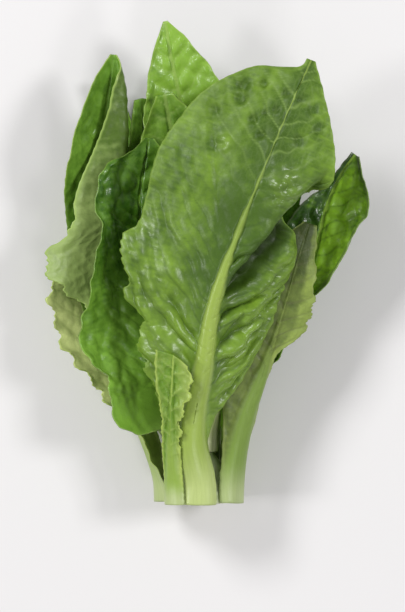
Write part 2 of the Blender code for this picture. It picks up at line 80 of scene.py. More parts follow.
# One dictionary a leaf, after one of what a leaf has where its own says nothing else. Its shape: the ring
# and angle of its foot on the stem, the rib's path, the way that it faces, the half widths, and how each
# half rises, rolls, bends, waves and is cut; rows and columns are those of the plain sheet, and crowd
# gives them their places. Its look: fine rows and columns, the finishes of its two sides, size and height
# of the blisters, puff between the side veins and ruffle of the margin; quilt, crinkle and edges (width
# of the pale margin) have a value for the left half and one for the right; tone (0 deep, 1 light),
# faceTone, gloss, pale and ribFade go along the leaf and sideTone across it; dimples, glints and tints
# are spots (across, along, radius, amount), creases lines (from, to, depth, width). tone, faceTone and
# sideTone are partly the leaf's own green and partly painted light and shade: lower where a part lies in
# shadow or is folded under, higher where a part in shade is painted lighter, and below 0 darker toward a
# painted shadow green. The tints are spots of painted shadow, of painted light and of the leaf's own green.
# hand is -1 for the leaves whose left and right are told from their backs.
commonLeaf = {
    "hand": 1, "crowd": [(0, 0), (1, 1)], "rise": [(0, 0), (1, 0)], "roll": [(1, 0)],
    "bend": [(0, 0, 1), (1, 0, 1)], "sweep": [(0, 0), (0.3, 0.25), (0.7, 0.15), (1, 0)], "wave": (0, 1, 0),
    "teeth": (0, 0, 1), "pleat": (0, 0, 0, 1), "back": "backGreen", "face": "faceGlossy",
    "blisters": (8.0, 0.5), "puff": 1.0, "ruffle": 1.0, "quilt": (0.3, 0.3), "crinkle": (0.12, 0.12),
    "edges": (1.8, 1.8), "ribScale": 1.0, "pale": (0.2, 0.5), "ribFade": (2, 3),
    "tone": [(0, 0.5), (1, 0.5)],
    "sideTone": [(-1, 0), (1, 0)], "gloss": [(0, 0.6), (1, 0.6)], "creases": [], "dimples": [],
    "glints": [], "tintsAndPaintedShading": [],
}
heartCore = {
    "node": "heart_core", "slot": "heart", "ring": "heart", "angle": -60,
    "path": [(-5, 85, 44), (-7, 120, 50), (-8, 150, 54), (-6, 172, 55)],
    "facing": [(0, 120), (0.4, 40), (1, 15)],
    "left": [(0, 4), (0.3, 8), (0.6, 17), (0.85, 13), (1, 1.5)],
    "right": [(0, 4), (0.3, 8), (0.6, 17), (0.85, 13), (1, 1.5)],
    "roll": [(0.5, 80), (1, 40)],
    "rows": 10, "columns": 4,
    "fine": (80, 22), "back": "heartPale", "face": "heartPale", "seed": 1,
}
heartFront = {
    "node": "heart_front", "slot": "heart", "ring": "inner", "angle": 20,
    "path": [(8, 75, 58), (12, 115, 66), (14, 150, 70), (12, 185, 70)],
    "facing": [(0, 200), (1, 185)],
    "left": [(0, 8), (0.3, 12), (0.6, 25), (0.85, 18), (1, 1.5)],
    "right": [(0, 8), (0.3, 12), (0.6, 25), (0.85, 18), (1, 1.5)],
    "roll": [(0.5, 80), (1, 40)],
    "rows": 12, "columns": 5,
    "fine": (90, 28), "back": "heartPale", "face": "heartPale", "seed": 2,
}
leafLeftBroad = {
    "node": "leaf_left_broad", "ring": "inner", "angle": -105,
    "path": [(-19, 75, 37), (-33, 122, 38), (-41, 171, 40), (-43, 215, 44), (-36, 258, 48)],
    "facing": [(0, 75), (0.12, 35), (0.25, 22), (0.6, 20), (1, 10)],
    "left": [(0, 8), (0.06, 12), (0.1, 22), (0.13, 44), (0.16, 54), (0.21, 53), (0.25, 50), (0.285, 59),
        (0.38, 61), (0.46, 58), (0.55, 54), (0.7, 44), (0.85, 36), (0.925, 28), (0.945, 18), (0.975, 8),
        (1, 3)],
    "right": [(0, 7), (0.1, 8), (0.25, 34), (0.5, 46), (0.75, 44), (0.9, 26), (1, 4)],
    "rise_left": [(0, 0), (0.2, -6), (0.4, -4), (0.6, 4), (1, 0)],
    "roll_left": [(0.2, 40), (0.4, 50), (0.7, 55), (1, 20)], "roll_right": [(0.3, 55), (0.7, 50), (1, 20)],
    "wave": (2.0, 4.5, 0.1), "teeth_left": (3.2, 0.1, 0.3),
    "sweep_left": [(0, 0), (0.3, 0.25), (0.7, 0.1), (0.85, -0.12), (1, -0.3)],
    "crowd": [(0, 0), (0.38, 0.28), (1, 1)],
    "rows": 23, "columns": 7,
    "fine": (200, 58), "blisters": (12.0, 2.2), "puff": 1.3, "ruffle": 0.9, "quilt": (1.2, 0.6),
    "edges": (0.01, 1.8), "seed": 3,
    "tintsAndPaintedShading": [(-44, 62, 14, 0.4), (-40, 44, 10, 0.3), (-34, 215, 12, -0.4)],
    "glints": [(-36, 60, 14, 0.6), (-30, 110, 14, 0.4), (-20, 180, 14, 0.4)],
    # tone is high in the lower part, which lies in the front leaf's shadow: painted light
    "tone": [(0, 1.0), (0.25, 0.95), (0.4, 0.8), (0.5, 0.55), (0.6, 0.2), (0.75, 0.15), (1, 0.4)],
    "gloss": [(0, 1), (1, 0.9)],
}
leafInner = {
    "node": "leaf_inner", "ring": "inner", "angle": 155,
    "path": [(4, 75, 27), (0, 125, 29), (-7, 175, 33), (-14, 225, 38), (-20, 262, 46), (-25, 288, 54)],
    "facing": [(0, 335), (0.4, 355), (1, 360)],
    "left": [(0, 6), (0.15, 7), (0.3, 11), (0.6, 24), (0.9, 20), (1, 6)],
    "right": [(0, 8), (0.3, 13), (0.6, 28), (0.9, 24), (1, 6)], "roll_left": [(0.5, 15), (1, 20)],
    "roll_right": [(0.5, 50), (1, 30)],
    "rows": 14, "columns": 5,
    "fine": (150, 34), "face": "faceBright", "seed": 4, "ribScale": 2.0,
    "tone": [(0, 0.2), (0.6, 0.2), (1, 0.55)],
}
leafTop = {
    "node": "leaf_top", "ring": "middle", "angle": 172,
    "path": [(-1, 70, 18), (-2, 130, 19), (-4, 200, 23), (-9, 255, 31), (-15, 290, 38), (-21, 318, 45),
        (-24.5, 340, 50)],
    "facing": [(0, 352), (0.5, 360), (1, 365)],
    "left": [(0, 7), (0.15, 12), (0.4, 30), (0.7, 36), (0.84, 24), (0.92, 15), (0.97, 7), (1, 1.2)],
    "right": [(0, 11), (0.15, 14), (0.4, 30), (0.7, 42), (0.84, 32), (0.92, 20), (0.97, 10), (1, 1.2)],
    "sweep": [(0, 0), (0.4, 0.3), (1, 0)], "wave": (2, 4, 0.3),
    "roll_left": [(0.4, 25), (0.8, 25), (1, 20)], "roll_right": [(0.4, 50), (0.8, 40), (1, 20)],
    "rows": 18, "columns": 5,
    "fine": (190, 44), "face": "faceBright", "blisters": (8.0, 1.1), "puff": 1.3, "seed": 5,
    "ribScale": 1.6,
    "sideTone": [(-1, -0.4), (-0.5, -0.1), (0, 0.2), (0.6, 0.2), (1, -0.1)],
    "gloss": [(0, 1), (1, 1)],
    "tone": [(0, 0.2), (0.7, 0.4), (0.82, 1.0), (1, 1.1)],
}
leafMiddle = {
    "node": "leaf_middle", "ring": "middle", "angle": -128,
    "path": [(-18, 75, 21), (-26, 130, 23), (-33, 190, 26), (-38, 245, 35), (-40, 286, 44)],
    "facing": [(0, 52), (0.4, 20), (1, 8)],
    "left": [(0, 5), (0.2, 6), (0.4, 11), (0.7, 12), (0.9, 13), (1, 7)],
    "right": [(0, 5), (0.15, 8), (0.4, 22), (0.7, 24), (0.9, 19), (1, 11)],
    "sweep": [(0, 0), (0.4, 0.3), (1, -0.1)], "wave": (2.5, 4, 0.6), "roll_left": [(0.4, 40), (1, 30)],
    "roll_right": [(0.4, 5), (0.8, 15), (1, 25)],
    "rows": 14, "columns": 5,
    "fine": (150, 30), "blisters": (7.0, 0.8), "seed": 6,
    "tone": [(0, 0.3), (0.8, 0.5), (1, 0.8)],
}
leafRightTip = {
    "node": "leaf_right_tip", "ring": "middle", "angle": 98,
    "path": [(28, 60, 31), (42, 101, 34), (64, 143, 37), (82, 180, 42), (90, 211, 47), (100, 233, 51),
        (109, 246, 53)],
    "facing": [(0, 278), (0.3, 310), (0.7, 335), (1, 330)],
    "left": [(0, 7), (0.15, 9), (0.4, 20), (0.7, 27), (0.8, 20), (0.88, 7), (1, 2.5)],
    "right": [(0, 10), (0.15, 9), (0.3, 7), (0.42, 9), (0.55, 18), (0.7, 29), (0.8, 35), (0.87, 39),
        (0.93, 30), (1, 4)],
    "sweep": [(0, 0), (0.5, 0.2), (0.8, 0.1), (1, 0)], "rise": [(0, 0), (0.4, 5), (1, 5)],
    "roll_left": [(0.4, 40), (1, 45)], "roll_right": [(0.4, 40), (0.6, 62), (1, 62)],
    "bend_right": [(0, 0, 1), (0.4, 0.1, 0.9), (0.6, 0.5, 0.5), (1, 0.5, 0.5)],
    "wave": (1.5, 4, 0),
    "rows": 18, "columns": 6,
    "fine": (150, 40), "face": "faceDark", "blisters": (7.0, 1.2), "seed": 7,
    "glints": [(8, 205, 12, 0.5), (-8, 195, 10, 0.5)], "quilt": (1.2, 0.8), "ruffle": 0.3,
    "edges": (1.5, 6.0), "ribScale": 1.3,
    # tone and sideTone: painted light beside the rib, where the leaf lies in the front leaf's shadow, and
    # painted shade on its folded left half
    "tone": [(0, 0.8), (0.6, 0.8), (0.75, 0.5), (0.9, 0.4), (0.95, 0.1), (1, -0.2)],
    "sideTone": [(-1, -0.6), (-0.12, -0.5), (0.05, 0.7), (0.4, 0.45), (0.7, 0.1), (1, -0.1)],
    "dimples": [(9, 208, 6, -3), (14, 192, 6, -3), (-6, 196, 4, 2), (-13, 190, 4, 2), (12, 172, 6, -2)],
    "gloss": [(0, 1), (1, 1)],
}
leafLeftRolled = {
    "node": "leaf_left_rolled", "ring": "middle", "angle": -66,
    "path": [(-30, 62, 37), (-51, 108, 33), (-69, 143, 32), (-77, 178, 34), (-77, 213, 37), (-71, 248, 42),
        (-66, 283, 48), (-61, 316, 54)],
    "facing": [(0, 114), (0.12, 75), (0.25, 40), (0.5, 15), (1, 12)],
    "left": [(0, 10), (0.1, 9), (0.25, 9), (0.36, 15), (0.6, 17), (0.77, 27), (0.83, 27), (0.88, 22),
        (0.95, 13), (1, 2)],
    "right": [(0, 6), (0.15, 8), (0.28, 16), (0.35, 24), (0.43, 48), (0.475, 62), (0.5, 75), (0.53, 80),
        (0.56, 78), (0.61, 73), (0.66, 68), (0.71, 61), (0.77, 51), (0.875, 35), (0.95, 20), (1, 2)],
    "sweep": [(0, 0), (0.3, 0), (1, 0)],
    "rise_left": [(0, 0), (0.4, 0), (0.62, 2), (0.75, 18), (1, 20)],
    "roll_left": [(0.4, 0), (0.62, 10), (0.75, 30), (1, 30)],
    "roll_right": [(0.28, 50), (0.36, 100), (0.43, 165), (0.5, 168), (0.64, 170), (0.875, 178), (0.95, 150),
        (1, 60)],
    "bend_right": [(0, 0, 1), (0.28, 0.1, 0.8), (0.36, 0.15, 0.4), (0.43, 0.17, 0.26), (0.5, 0.17, 0.17),
        (0.55, 0.18, 0.17), (0.61, 0.265, 0.24), (0.66, 0.26, 0.25), (0.71, 0.27, 0.27), (0.77, 0.3, 0.28),
        (0.875, 0.32, 0.37), (1, 0.2, 0.6)],
    "teeth_right": (5.0, 0.4, 0.64), "crowd": [(0, 0), (0.28, 0.36), (0.68, 0.64), (1, 1)],
    "rows": 30, "columns": 9,
    "fine": (240, 72), "back": "backGrey", "blisters": (6.0, 0.35), "puff": 0.3, "ruffle": 0.25, "seed": 8,
    "glints": [(-15, 235, 13, 0.7), (-15, 262, 11, 0.7), (-11, 285, 9, 0.6), (-12, 205, 9, 0.5)],
    # tone: painted shade on the folded-over near half (along 0.72 to 1), while the flap below stays pale
    "tone": [(0, 0.9), (0.55, 0.95), (0.62, 0.7), (0.72, 0.2), (0.8, -0.25), (1, -0.1)],
    "sideTone": [(-1, 0), (0.45, 0), (0.7, 0.3), (1, 0.4)],
    "faceTone": [(0, 0.2), (0.6, 0.4), (0.8, 0.65), (1, 0.65)],
}
leafRightPale = {
    "node": "leaf_right_pale", "ring": "outer", "angle": 58,
    "path": [(32, 62, 52), (40, 84, 57), (50, 112, 62), (60, 143, 66), (69, 175, 68), (76, 197, 66)],
    "facing": [(0, 238), (0.2, 218), (0.45, 200), (1, 192)], "hand": -1,
    "left": [(0, 12), (0.2, 13), (0.4, 24), (0.7, 30), (0.9, 18), (1, 4)],
    "right": [(0, 14), (0.2, 10), (0.46, 6), (0.55, 7), (0.59, 15), (0.63, 20), (0.7, 20), (0.78, 17),
        (0.88, 13), (1, 6)],
    "roll": [(0.3, 20), (1, 15)], "wave": (2, 4, 0.2), "teeth_right": (2.5, 0.6, 0.95),
    "rise_right": [(0, 0), (0.35, 0), (0.55, -8), (1, -6)],
    "crowd": [(0, 0), (0.3, 0.45), (0.8, 0.76), (1, 1)],
    "rows": 22, "columns": 5,
    "fine": (170, 46), "back": "backDull", "face": "faceBright", "blisters": (6.0, -0.2), "puff": -0.3,
    "ruffle": 0.6, "ribFade": (0.42, 0.62), "gloss": [(0, 0.6), (0.5, 0.4), (0.7, 0), (1, 0)], "seed": 9,
    "tone": [(0, 0.6), (0.35, 0.6), (0.6, 0.4), (0.8, 0.2), (0.9, -0.2), (1, -0.4)],
    "sideTone": [(-1, -0.1), (0, 0), (0.45, 0.05), (0.65, 0.7), (1, 0.9)],
}
leafBackLeft = {
    "node": "leaf_back_left", "ring": "outer", "angle": -158,
    "path": [(-18, 62, 5), (-32, 115, 2), (-46, 175, 0), (-56, 235, 2), (-62, 280, 12), (-65, 304, 22)],
    "facing": [(0, 22), (0.5, 8), (1, 15)],
    "left": [(0, 12), (0.15, 16), (0.4, 32), (0.65, 26), (0.85, 16), (1, 3)],
    "right": [(0, 12), (0.15, 16), (0.4, 38), (0.65, 36), (0.85, 18), (1, 3)],
    "rise": [(0, 0), (0.4, 4), (1, 20)], "roll": [(0.4, 50), (1, 60)], "wave": (2.5, 4, 0.5),
    "rows": 16, "columns": 5,
    "fine": (160, 36), "ruffle": 0.3, "seed": 10,
}
leafBackRight = {
    "node": "leaf_back_right", "ring": "outer", "angle": 142,
    "path": [(23, 62, 6), (34, 115, 2), (45, 175, 0), (52, 230, 2), (54, 272, 14)],
    "facing": [(0, 322), (0.5, 350), (1, 345)],
    "left": [(0, 12), (0.15, 16), (0.4, 38), (0.65, 44), (0.87, 30), (1, 3)],
    "right": [(0, 11), (0.15, 13), (0.4, 34), (0.65, 38), (0.87, 26), (1, 3)],
    "rise": [(0, 0), (0.4, 4), (1, 10)], "roll": [(0.4, 50), (1, 50)], "wave": (2.5, 4, 0.8),
    "rows": 16, "columns": 5,
    "fine": (160, 36), "seed": 11,
}
leafLeftLow = {
    "node": "leaf_left_low", "ring": "outer", "angle": -100,
    "path": [(-36, 45, 28), (-54, 80, 24), (-68, 112, 22), (-75, 145, 20), (-78, 180, 20), (-79, 215, 22),
        (-79, 238, 24)],
    "facing": [(0, 80), (0.4, 40), (1, 40)],
    "left": [(0, 18), (0.15, 15), (0.3, 20), (0.42, 31), (0.5, 36), (0.56, 38), (0.61, 44), (0.66, 35),
        (0.72, 22), (0.85, 15), (1, 2)],
    "right": [(0, 12), (0.15, 15), (0.35, 26), (0.6, 27), (0.85, 15), (1, 2)],
    "roll": [(0.4, 10), (1, 30)], "wave": (3.0, 5, 0.2), "teeth": (4.5, 0.26, 0.7),
    "crowd": [(0, 0), (0.2, 0.26), (0.8, 0.7), (1, 1)],
    "rows": 26, "columns": 5,
    "fine": (200, 40), "back": "backYellow", "face": "faceYellow", "blisters": (7.0, 0.5), "puff": 0.5,
    "ruffle": 0.9, "seed": 12,
    # tone above 1 paints light on this leaf, which lies in shade
    "tone": [(0, 0.6), (0.35, 1.2), (0.55, 1.3), (0.62, 1.0), (0.75, 0.6), (1, 0.9)],
}
leafFront = {
    "node": "leaf_front", "ring": "outer", "angle": -2,
    "path": [(-6, 45, 70), (3, 101, 84), (10, 143, 93), (26, 189, 100), (46, 238, 103), (65, 283, 101),
        (76, 307, 98)],
    "facing": [(0, 178), (0.4, 180), (1, 180)], "hand": -1,
    "left": [(0, 18), (0.1, 14), (0.2, 24), (0.31, 46), (0.345, 50), (0.38, 46), (0.43, 64), (0.46, 64),
        (0.5, 75), (0.545, 69), (0.6, 70), (0.76, 71), (0.9, 48), (0.95, 28), (0.964, 15), (0.975, 6.5),
        (1, 3)],
    "right": [(0, 12), (0.1, 12), (0.2, 18), (0.31, 43), (0.38, 50), (0.45, 55), (0.52, 57), (0.59, 53),
        (0.64, 48), (0.68, 39), (0.76, 47), (0.83, 41), (0.9, 28), (0.97, 11), (1, 3)],
    "sweep": [(0, 0), (1, 0)], "rise_left": [(0, 0), (0.4, 4), (1, 4)],
    "roll_left": [(0.3, 20), (0.7, 14), (1, 12)], "rise_right": [(0, 0), (0.4, 8), (1, 0)],
    "roll_right": [(0.2, 55), (0.35, 52), (0.5, 45), (0.6, 45), (0.68, 40), (0.74, 15), (1, 10)],
    "wave": (2.5, 5, 0.35), "teeth_left": (4.0, 0.2, 0.55), "pleat_right": (9, 0.46, 0.3, 0.06),
    "crowd": [(0, 0), (0.15, 0.2), (0.6, 0.55), (1, 1)],
    "rows": 30, "columns": 9,
    "fine": (300, 78), "back": "backOlive", "face": "faceBright", "blisters": (8.0, -0.35), "puff": -0.9,
    "ruffle": 0.6, "quilt": (1.3, 2.6), "crinkle": (0.16, 0.2), "seed": 13,
    "creases": [((4, 150), (33, 236), 14.0, 7.5), ((8, 118), (36, 168), 3.0, 4.0),
        ((8, 92), (38, 132), 2.4, 4.0), ((-8, 120), (-40, 150), 1.6, 4.0),
        ((-10, 190), (-46, 262), 1.5, 7.0)],
    "tone": [(0, 0.65), (0.36, 0.65), (0.45, 0.5), (0.6, 0.35), (0.8, 0.35), (1, 0.3)],
    # sideTone darkens the blade beside the rib: painted shade in the valley along it
    "sideTone": [(-1, 0.15), (-0.75, 0), (-0.42, 0.2), (-0.22, -0.15), (-0.04, -0.35), (0.1, -0.3),
        (0.45, 0), (0.85, 0.2), (1, 0.35)],
    "gloss": [(0, 0.6), (0.4, 0.6), (0.5, 0.45), (0.58, 0.25), (0.68, 0.1), (1, 0)],
    "glints": [(15, 243, 11, 1.3), (21, 231, 9, 0.8), (-32, 250, 5, 1.0), (43, 182, 7, 0.9),
        (40, 158, 8, 0.7), (33, 128, 8, 0.6), (-33, 112, 9, 0.8), (-46, 134, 8, 0.5), (-62, 180, 7, 0.5),
        (15, 176, 7, -0.8), (21, 189, 8, -0.9), (27, 201, 8, -0.9), (33, 213, 7, -0.7)],
    "pale": (0.62, 0.85),
    # tints: the first five paint the shadow under the fold along the crease, the next five paint light on the
    # lower lobes, and the rest make the leaf's own green lighter or darker in patches
    "tintsAndPaintedShading": [(9, 165, 4, -1.2), (15, 176, 6, -1.5), (21, 189, 8, -1.6), (28, 202, 8, -1.6),
        (34, 214, 7, -1.4), (42, 186, 7, 0.6), (37, 150, 10, 0.9), (31, 120, 10, 0.8), (24, 96, 9, 0.6),
        (-33, 110, 12, 0.6), (-34, 228, 12, 0.25), (-14, 205, 16, -0.3), (-16, 165, 14, -0.25),
        (4, 322, 10, -0.3), (-6, 275, 20, -0.25), (8, 255, 16, -0.2)],
    "dimples": [(-35, 292, 4.5, 3.4), (-33, 283, 4.5, 3.4), (-23, 298, 3.6, 3.0), (-20, 273, 3.4, 2.8),
        (-11, 265, 3.4, 2.8), (-8, 285, 3.0, 1.8), (-6, 298, 3.4, 2.0), (-14, 280, 2.4, 1.4),
        (4.5, 297, 3.2, 1.6), (15, 295, 4.5, 1.8), (15, 271, 4.5, 1.8), (24, 284, 4.5, 1.6),
        (-48, 270, 4.0, 1.4), (-40, 247, 4.5, 1.2), (-31, 110, 12, -4), (-19, 128, 9, -3),
        (-46, 128, 9, -2.5), (-38, 152, 11, -2), (17, 241, 11, -2.5), (-32, 250, 5, -1), (37, 197, 10, -4),
        (35, 168, 10, -4), (31, 140, 11, -4), (25, 112, 10, -3.5), (14, 205, 8, -1.5)],
}
leafSmallFront = {
    "node": "leaf_small_front", "ring": "bract", "angle": -32,
    "path": [(-20, 45, 74), (-19.5, 78, 88), (-18, 106, 97)],
    "facing": [(0, 148), (0.5, 165), (1, 175)], "hand": -1,
    "left": [(0, 8), (0.3, 7), (0.6, 7), (0.85, 12), (1, 13)],
    "right": [(0, 8), (0.3, 7), (0.6, 8), (0.8, 13), (0.94, 14), (1, 11)],
    "roll": [(0.5, -20), (1, -30)], "teeth_left": (0.8, 0.35, 1.0), "teeth_right": (3.4, 0.35, 1.0),
    "sweep_left": [(0, 0), (0.8, 0.1), (1, 0.3)], "sweep_right": [(0, 0), (0.6, -0.2), (1, -0.6)],
    "rows": 14, "columns": 4,
    "fine": (120, 26), "back": "backYellow", "face": "faceYellow", "blisters": (5.0, 0.7), "seed": 14,
    "ribScale": 0.6, "ribFade": (0.3, 0.6),
    "tone": [(0, 0.5), (0.5, 0.3), (1, 0.5)],
    # sideTone: painted shade on the left part, lighter toward the toothed right margin
    "sideTone": [(-1, -0.1), (-0.6, -0.3), (0.2, -0.3), (0.6, 0.3), (1, 0.7)],
}
leavesFromHeart = [
    {**commonLeaf, **leaf}
    for leaf in (heartCore, heartFront, leafLeftBroad, leafInner, leafTop, leafMiddle, leafRightTip,
                 leafLeftRolled, leafRightPale, leafBackLeft, leafBackRight, leafLeftLow, leafFront,
                 leafSmallFront)
]

# Finishes of the leaf sides: the blade's two greens (deep and light), the side veins and those near the tip
# (pale), the margin's edge, the rib, the petiole's foot, the roughness where dull (shine), the light let
# through (glow) and, where it isn't the common one, the waxy coat's weight and roughness.
finishWords = ("deep", "light", "vein", "pale", "edge", "rib", "foot", "shine", "glow", "coat")
finishValues = {
    # backOlive's vein green is darker than its deep green: painted shade in the vein grooves
    "backOlive": ((0.068, 0.14, 0.013), (0.218, 0.375, 0.034), (0.055, 0.115, 0.014), (0.23, 0.35, 0.08),
        (0.22, 0.36, 0.05), (0.36, 0.5, 0.085), (0.55, 0.66, 0.24), 0.44, 0.1, (0.85, 0.3)),
    "backGreen": ((0.05, 0.13, 0.01), (0.13, 0.27, 0.025), (0.15, 0.28, 0.04), (0.18, 0.31, 0.06),
        (0.22, 0.36, 0.06), (0.27, 0.42, 0.07), (0.5, 0.6, 0.26), 0.42, 0.1),
    "backGrey": ((0.082, 0.155, 0.013), (0.385, 0.52, 0.155), (0.15, 0.24, 0.05), (0.14, 0.21, 0.05),
        (0.38, 0.54, 0.12), (0.25, 0.36, 0.09), (0.48, 0.58, 0.26), 0.48, 0.08),
    "backDull": ((0.07, 0.108, 0.018), (0.3, 0.4, 0.08), (0.11, 0.17, 0.035), (0.13, 0.15, 0.05),
        (0.3, 0.38, 0.1), (0.22, 0.34, 0.06), (0.46, 0.56, 0.24), 0.46, 0.08),
    "backYellow": ((0.15, 0.3, 0.02), (0.4, 0.53, 0.12), (0.36, 0.5, 0.1), (0.38, 0.52, 0.12),
        (0.46, 0.6, 0.12), (0.32, 0.48, 0.08), (0.5, 0.6, 0.26), 0.42, 0.12),
    "faceGlossy": ((0.038, 0.124, 0.007), (0.235, 0.465, 0.052), (0.1, 0.26, 0.012), (0.1, 0.24, 0.012),
        (0.26, 0.44, 0.06), (0.18, 0.36, 0.03), (0.42, 0.54, 0.2), 0.34, 0.08),
    # faceDark's light and rib greens are raised for a leaf that lies in the front leaf's shadow: painted
    # light
    "faceDark": ((0.036, 0.1, 0.011), (0.36, 0.68, 0.04), (0.1, 0.26, 0.012), (0.1, 0.24, 0.02),
        (0.12, 0.16, 0.07), (0.54, 0.8, 0.12), (0.42, 0.54, 0.2), 0.3, 0.08),
    "faceBright": ((0.055, 0.165, 0.006), (0.275, 0.51, 0.05), (0.34, 0.54, 0.12), (0.4, 0.6, 0.14),
        (0.36, 0.56, 0.09), (0.4, 0.58, 0.14), (0.45, 0.57, 0.22), 0.34, 0.12),
    # faceYellow's light green is raised for a leaf that lies in shade: painted light
    "faceYellow": ((0.13, 0.29, 0.012), (0.79, 0.89, 0.34), (0.5, 0.64, 0.14), (0.42, 0.56, 0.14),
        (0.52, 0.64, 0.18), (0.36, 0.5, 0.11), (0.48, 0.58, 0.24), 0.4, 0.06),
    "heartPale": ((0.23, 0.36, 0.05), (0.4, 0.5, 0.11), (0.46, 0.56, 0.18), (0.46, 0.56, 0.18),
        (0.46, 0.56, 0.18), (0.54, 0.62, 0.26), (0.66, 0.7, 0.4), 0.42, 0.15),
}
finishes = {name: dict(zip(finishWords, values)) for name, values in finishValues.items()}


def smoothKeys(keys, at):
    # a smooth curve through keys, each a place and its value or values
    table = np.array([[key[0], *np.ravel(key[1:])] for key in keys], float)
    place, value = table[:, 0], table[:, 1:]
    slope = np.gradient(value, place, axis=0)
    low = np.clip(np.searchsorted(place, at, side="right") - 1, 0, len(place) - 2)
    gap = (place[low + 1] - place[low])[:, None]
    f = (at - place[low])[:, None] / gap
    found = (
        (1 + 2 * f) * (1 - f) ** 2 * value[low]
        + f * (1 - f) ** 2 * gap * slope[low]
        + f * f * (3 - 2 * f) * value[low + 1]
        + f * f * (f - 1) * gap * slope[low + 1]
    )
    return found[:, 0] if found.shape[1] == 1 else found


def unitVectors(vectors):
    return vectors / np.maximum(np.linalg.norm(vectors, axis=-1, keepdims=True), 1e-9)


def smoothStep(low, high, value):
    share = np.clip((value - low) / (high - low), 0, 1)
    return share * share * (3 - 2 * share)


def ribPoints(leaf):
    # from the foot on the stem to the tip
    ring = rings[leaf["ring"]]
    angle = math.radians(leaf["angle"])
    foot = []
    for along, spread in ((0, 0), (head["footLength"], head["footSpread"])):
        radius = ring["radius"] + spread
        x, z = radius * math.sin(angle), head["axisHeight"] + radius * math.cos(angle)
        foot.append((x, ring["start"] + along, z))
    return np.array(foot + leaf["path"], float)


def ribAlong(leaf, along):
    points = ribPoints(leaf)
    steps = np.linalg.norm(np.diff(points, axis=0), axis=1)
    place = np.concatenate([[0], np.cumsum(steps)]) / steps.sum()
    keys = [(p, *xyz) for p, xyz in zip(place, points)]
    small = 1e-3
    ahead = smoothKeys(keys, np.minimum(along + small, 1))
    behind = smoothKeys(keys, np.maximum(along - small, 0))
    return smoothKeys(keys, along), unitVectors(ahead - behind), steps.sum()


def sideValue(leaf, word, side):
    return leaf.get(f"{word}_{side}", leaf[word])


def crossSection(leaf, side, along, width, columns):
    # across one half of the blade, by row and column: how far out and up it is, and its slope
    fine = np.linspace(0, 1, 81)
    footRoll = math.degrees(width[0] / rings[leaf["ring"]]["radius"])
    rise = np.radians(smoothKeys(sideValue(leaf, "rise", side), along))
    roll = np.radians(smoothKeys([(0, footRoll)] + sideValue(leaf, "roll", side), along))
    bend = smoothKeys(sideValue(leaf, "bend", side), along)
    share = np.clip((fine[None, :] - bend[:, :1]) / bend[:, 1:], 0, 1)
    slope = rise[:, None] + roll[:, None] * share
    middle = (slope[:, 1:] + slope[:, :-1]) / 2
    step = width[:, None] / (len(fine) - 1)
    zero = np.zeros((len(along), 1))
    out = np.concatenate([zero, np.cumsum(np.cos(middle) * step, axis=1)], axis=1)
    up = np.concatenate([zero, np.cumsum(np.sin(middle) * step, axis=1)], axis=1)
    return [np.array([np.interp(columns, fine, row) for row in values]) for values in (out, up, slope)]


def marginTeeth(leaf, side, along, finely):
    # a tooth for every two rows of the plain sheet; finely adds the small ones between
    depth, first, last = sideValue(leaf, "teeth", side)
    crowded = np.array(leaf["crowd"])
    row = np.interp(along, crowded[:, 1], crowded[:, 0]) * leaf["rows"]
    inside = np.clip(np.minimum(along - first, last - along) / head["toothFade"], 0, 1)
    size = 0.7 + 0.3 * np.sin(row * 1.9)
    shape = depth * size * inside * (1 - 2 * np.abs(np.mod(row, 2) - 1))
    if finely:
        lean = np.mod(row * 1.63 + 0.4 * np.sin(row * 0.8), 1)
        small = np.minimum(lean / 0.7, (1 - lean) / 0.3)
        shape = shape * 0.85 + (0.32 * depth * inside + 0.45) * (small - 0.5)
    return shape


def halfSheet(leaf, side, sign, along, rib, tangent, inward, across, columns, finely):
    # points and thickness of one half of the blade, row by row, from the rib outwards
    width = np.maximum(smoothKeys(leaf[side], along), 0.8)
    out, up, slope = crossSection(leaf, side, along, width, columns)
    reach = columns[None, :] * width[:, None]
    edge = marginTeeth(leaf, side, along, finely)[:, None] * columns[None, :] ** 6
    out = out + edge * np.cos(slope)
    up = up + edge * np.sin(slope)
    face = inward[:, None] * np.cos(slope)[..., None] - sign * across[:, None] * np.sin(slope)[..., None]
    height, waves, phase = leaf["wave"]
    fade = np.sin(np.pi * np.clip(along, 0, 1)) ** 0.6
    turn = 2 * np.pi * (waves * along + phase + (0.4 if sign > 0 else 0))
    wave = (height * fade * np.sin(turn))[:, None] * columns[None, :] ** 2
    depth, first, lean, span = sideValue(leaf, "pleat", side)
    step = np.clip((along[:, None] - first - lean * columns[None, :]) / span + 0.5, 0, 1)
    held = np.clip(np.minimum((along - 0.15) / 0.25, (1 - along) / 0.2), 0, 1)[:, None]
    pleat = depth * held * (step * step * (3 - 2 * step) - 0.5) * columns[None, :] ** 0.7
    forward = smoothKeys(sideValue(leaf, "sweep", side), along)[:, None] * reach
    points = (
        rib[:, None]
        + sign * across[:, None] * out[..., None]
        + inward[:, None] * up[..., None]
        + tangent[:, None] * forward[..., None]
        + face * (wave - pleat)[..., None]
    )
    ribHeight = rings[leaf["ring"]]["rib"] * (1 - along) ** 1.3
    wide, narrow = head["ribWidths"]
    ribWidth, power = narrow + (wide - narrow) * (1 - along) ** 1.5, 2
    if finely:
        ribWidth, power = smoothKeys(midrib["halfWidth"], along) * leaf["ribScale"], midrib["power"]
    thick = head["blade"] + ribHeight[:, None] * np.exp(-((reach / ribWidth[:, None]) ** power))
    return points, thick, sign * reach, forward


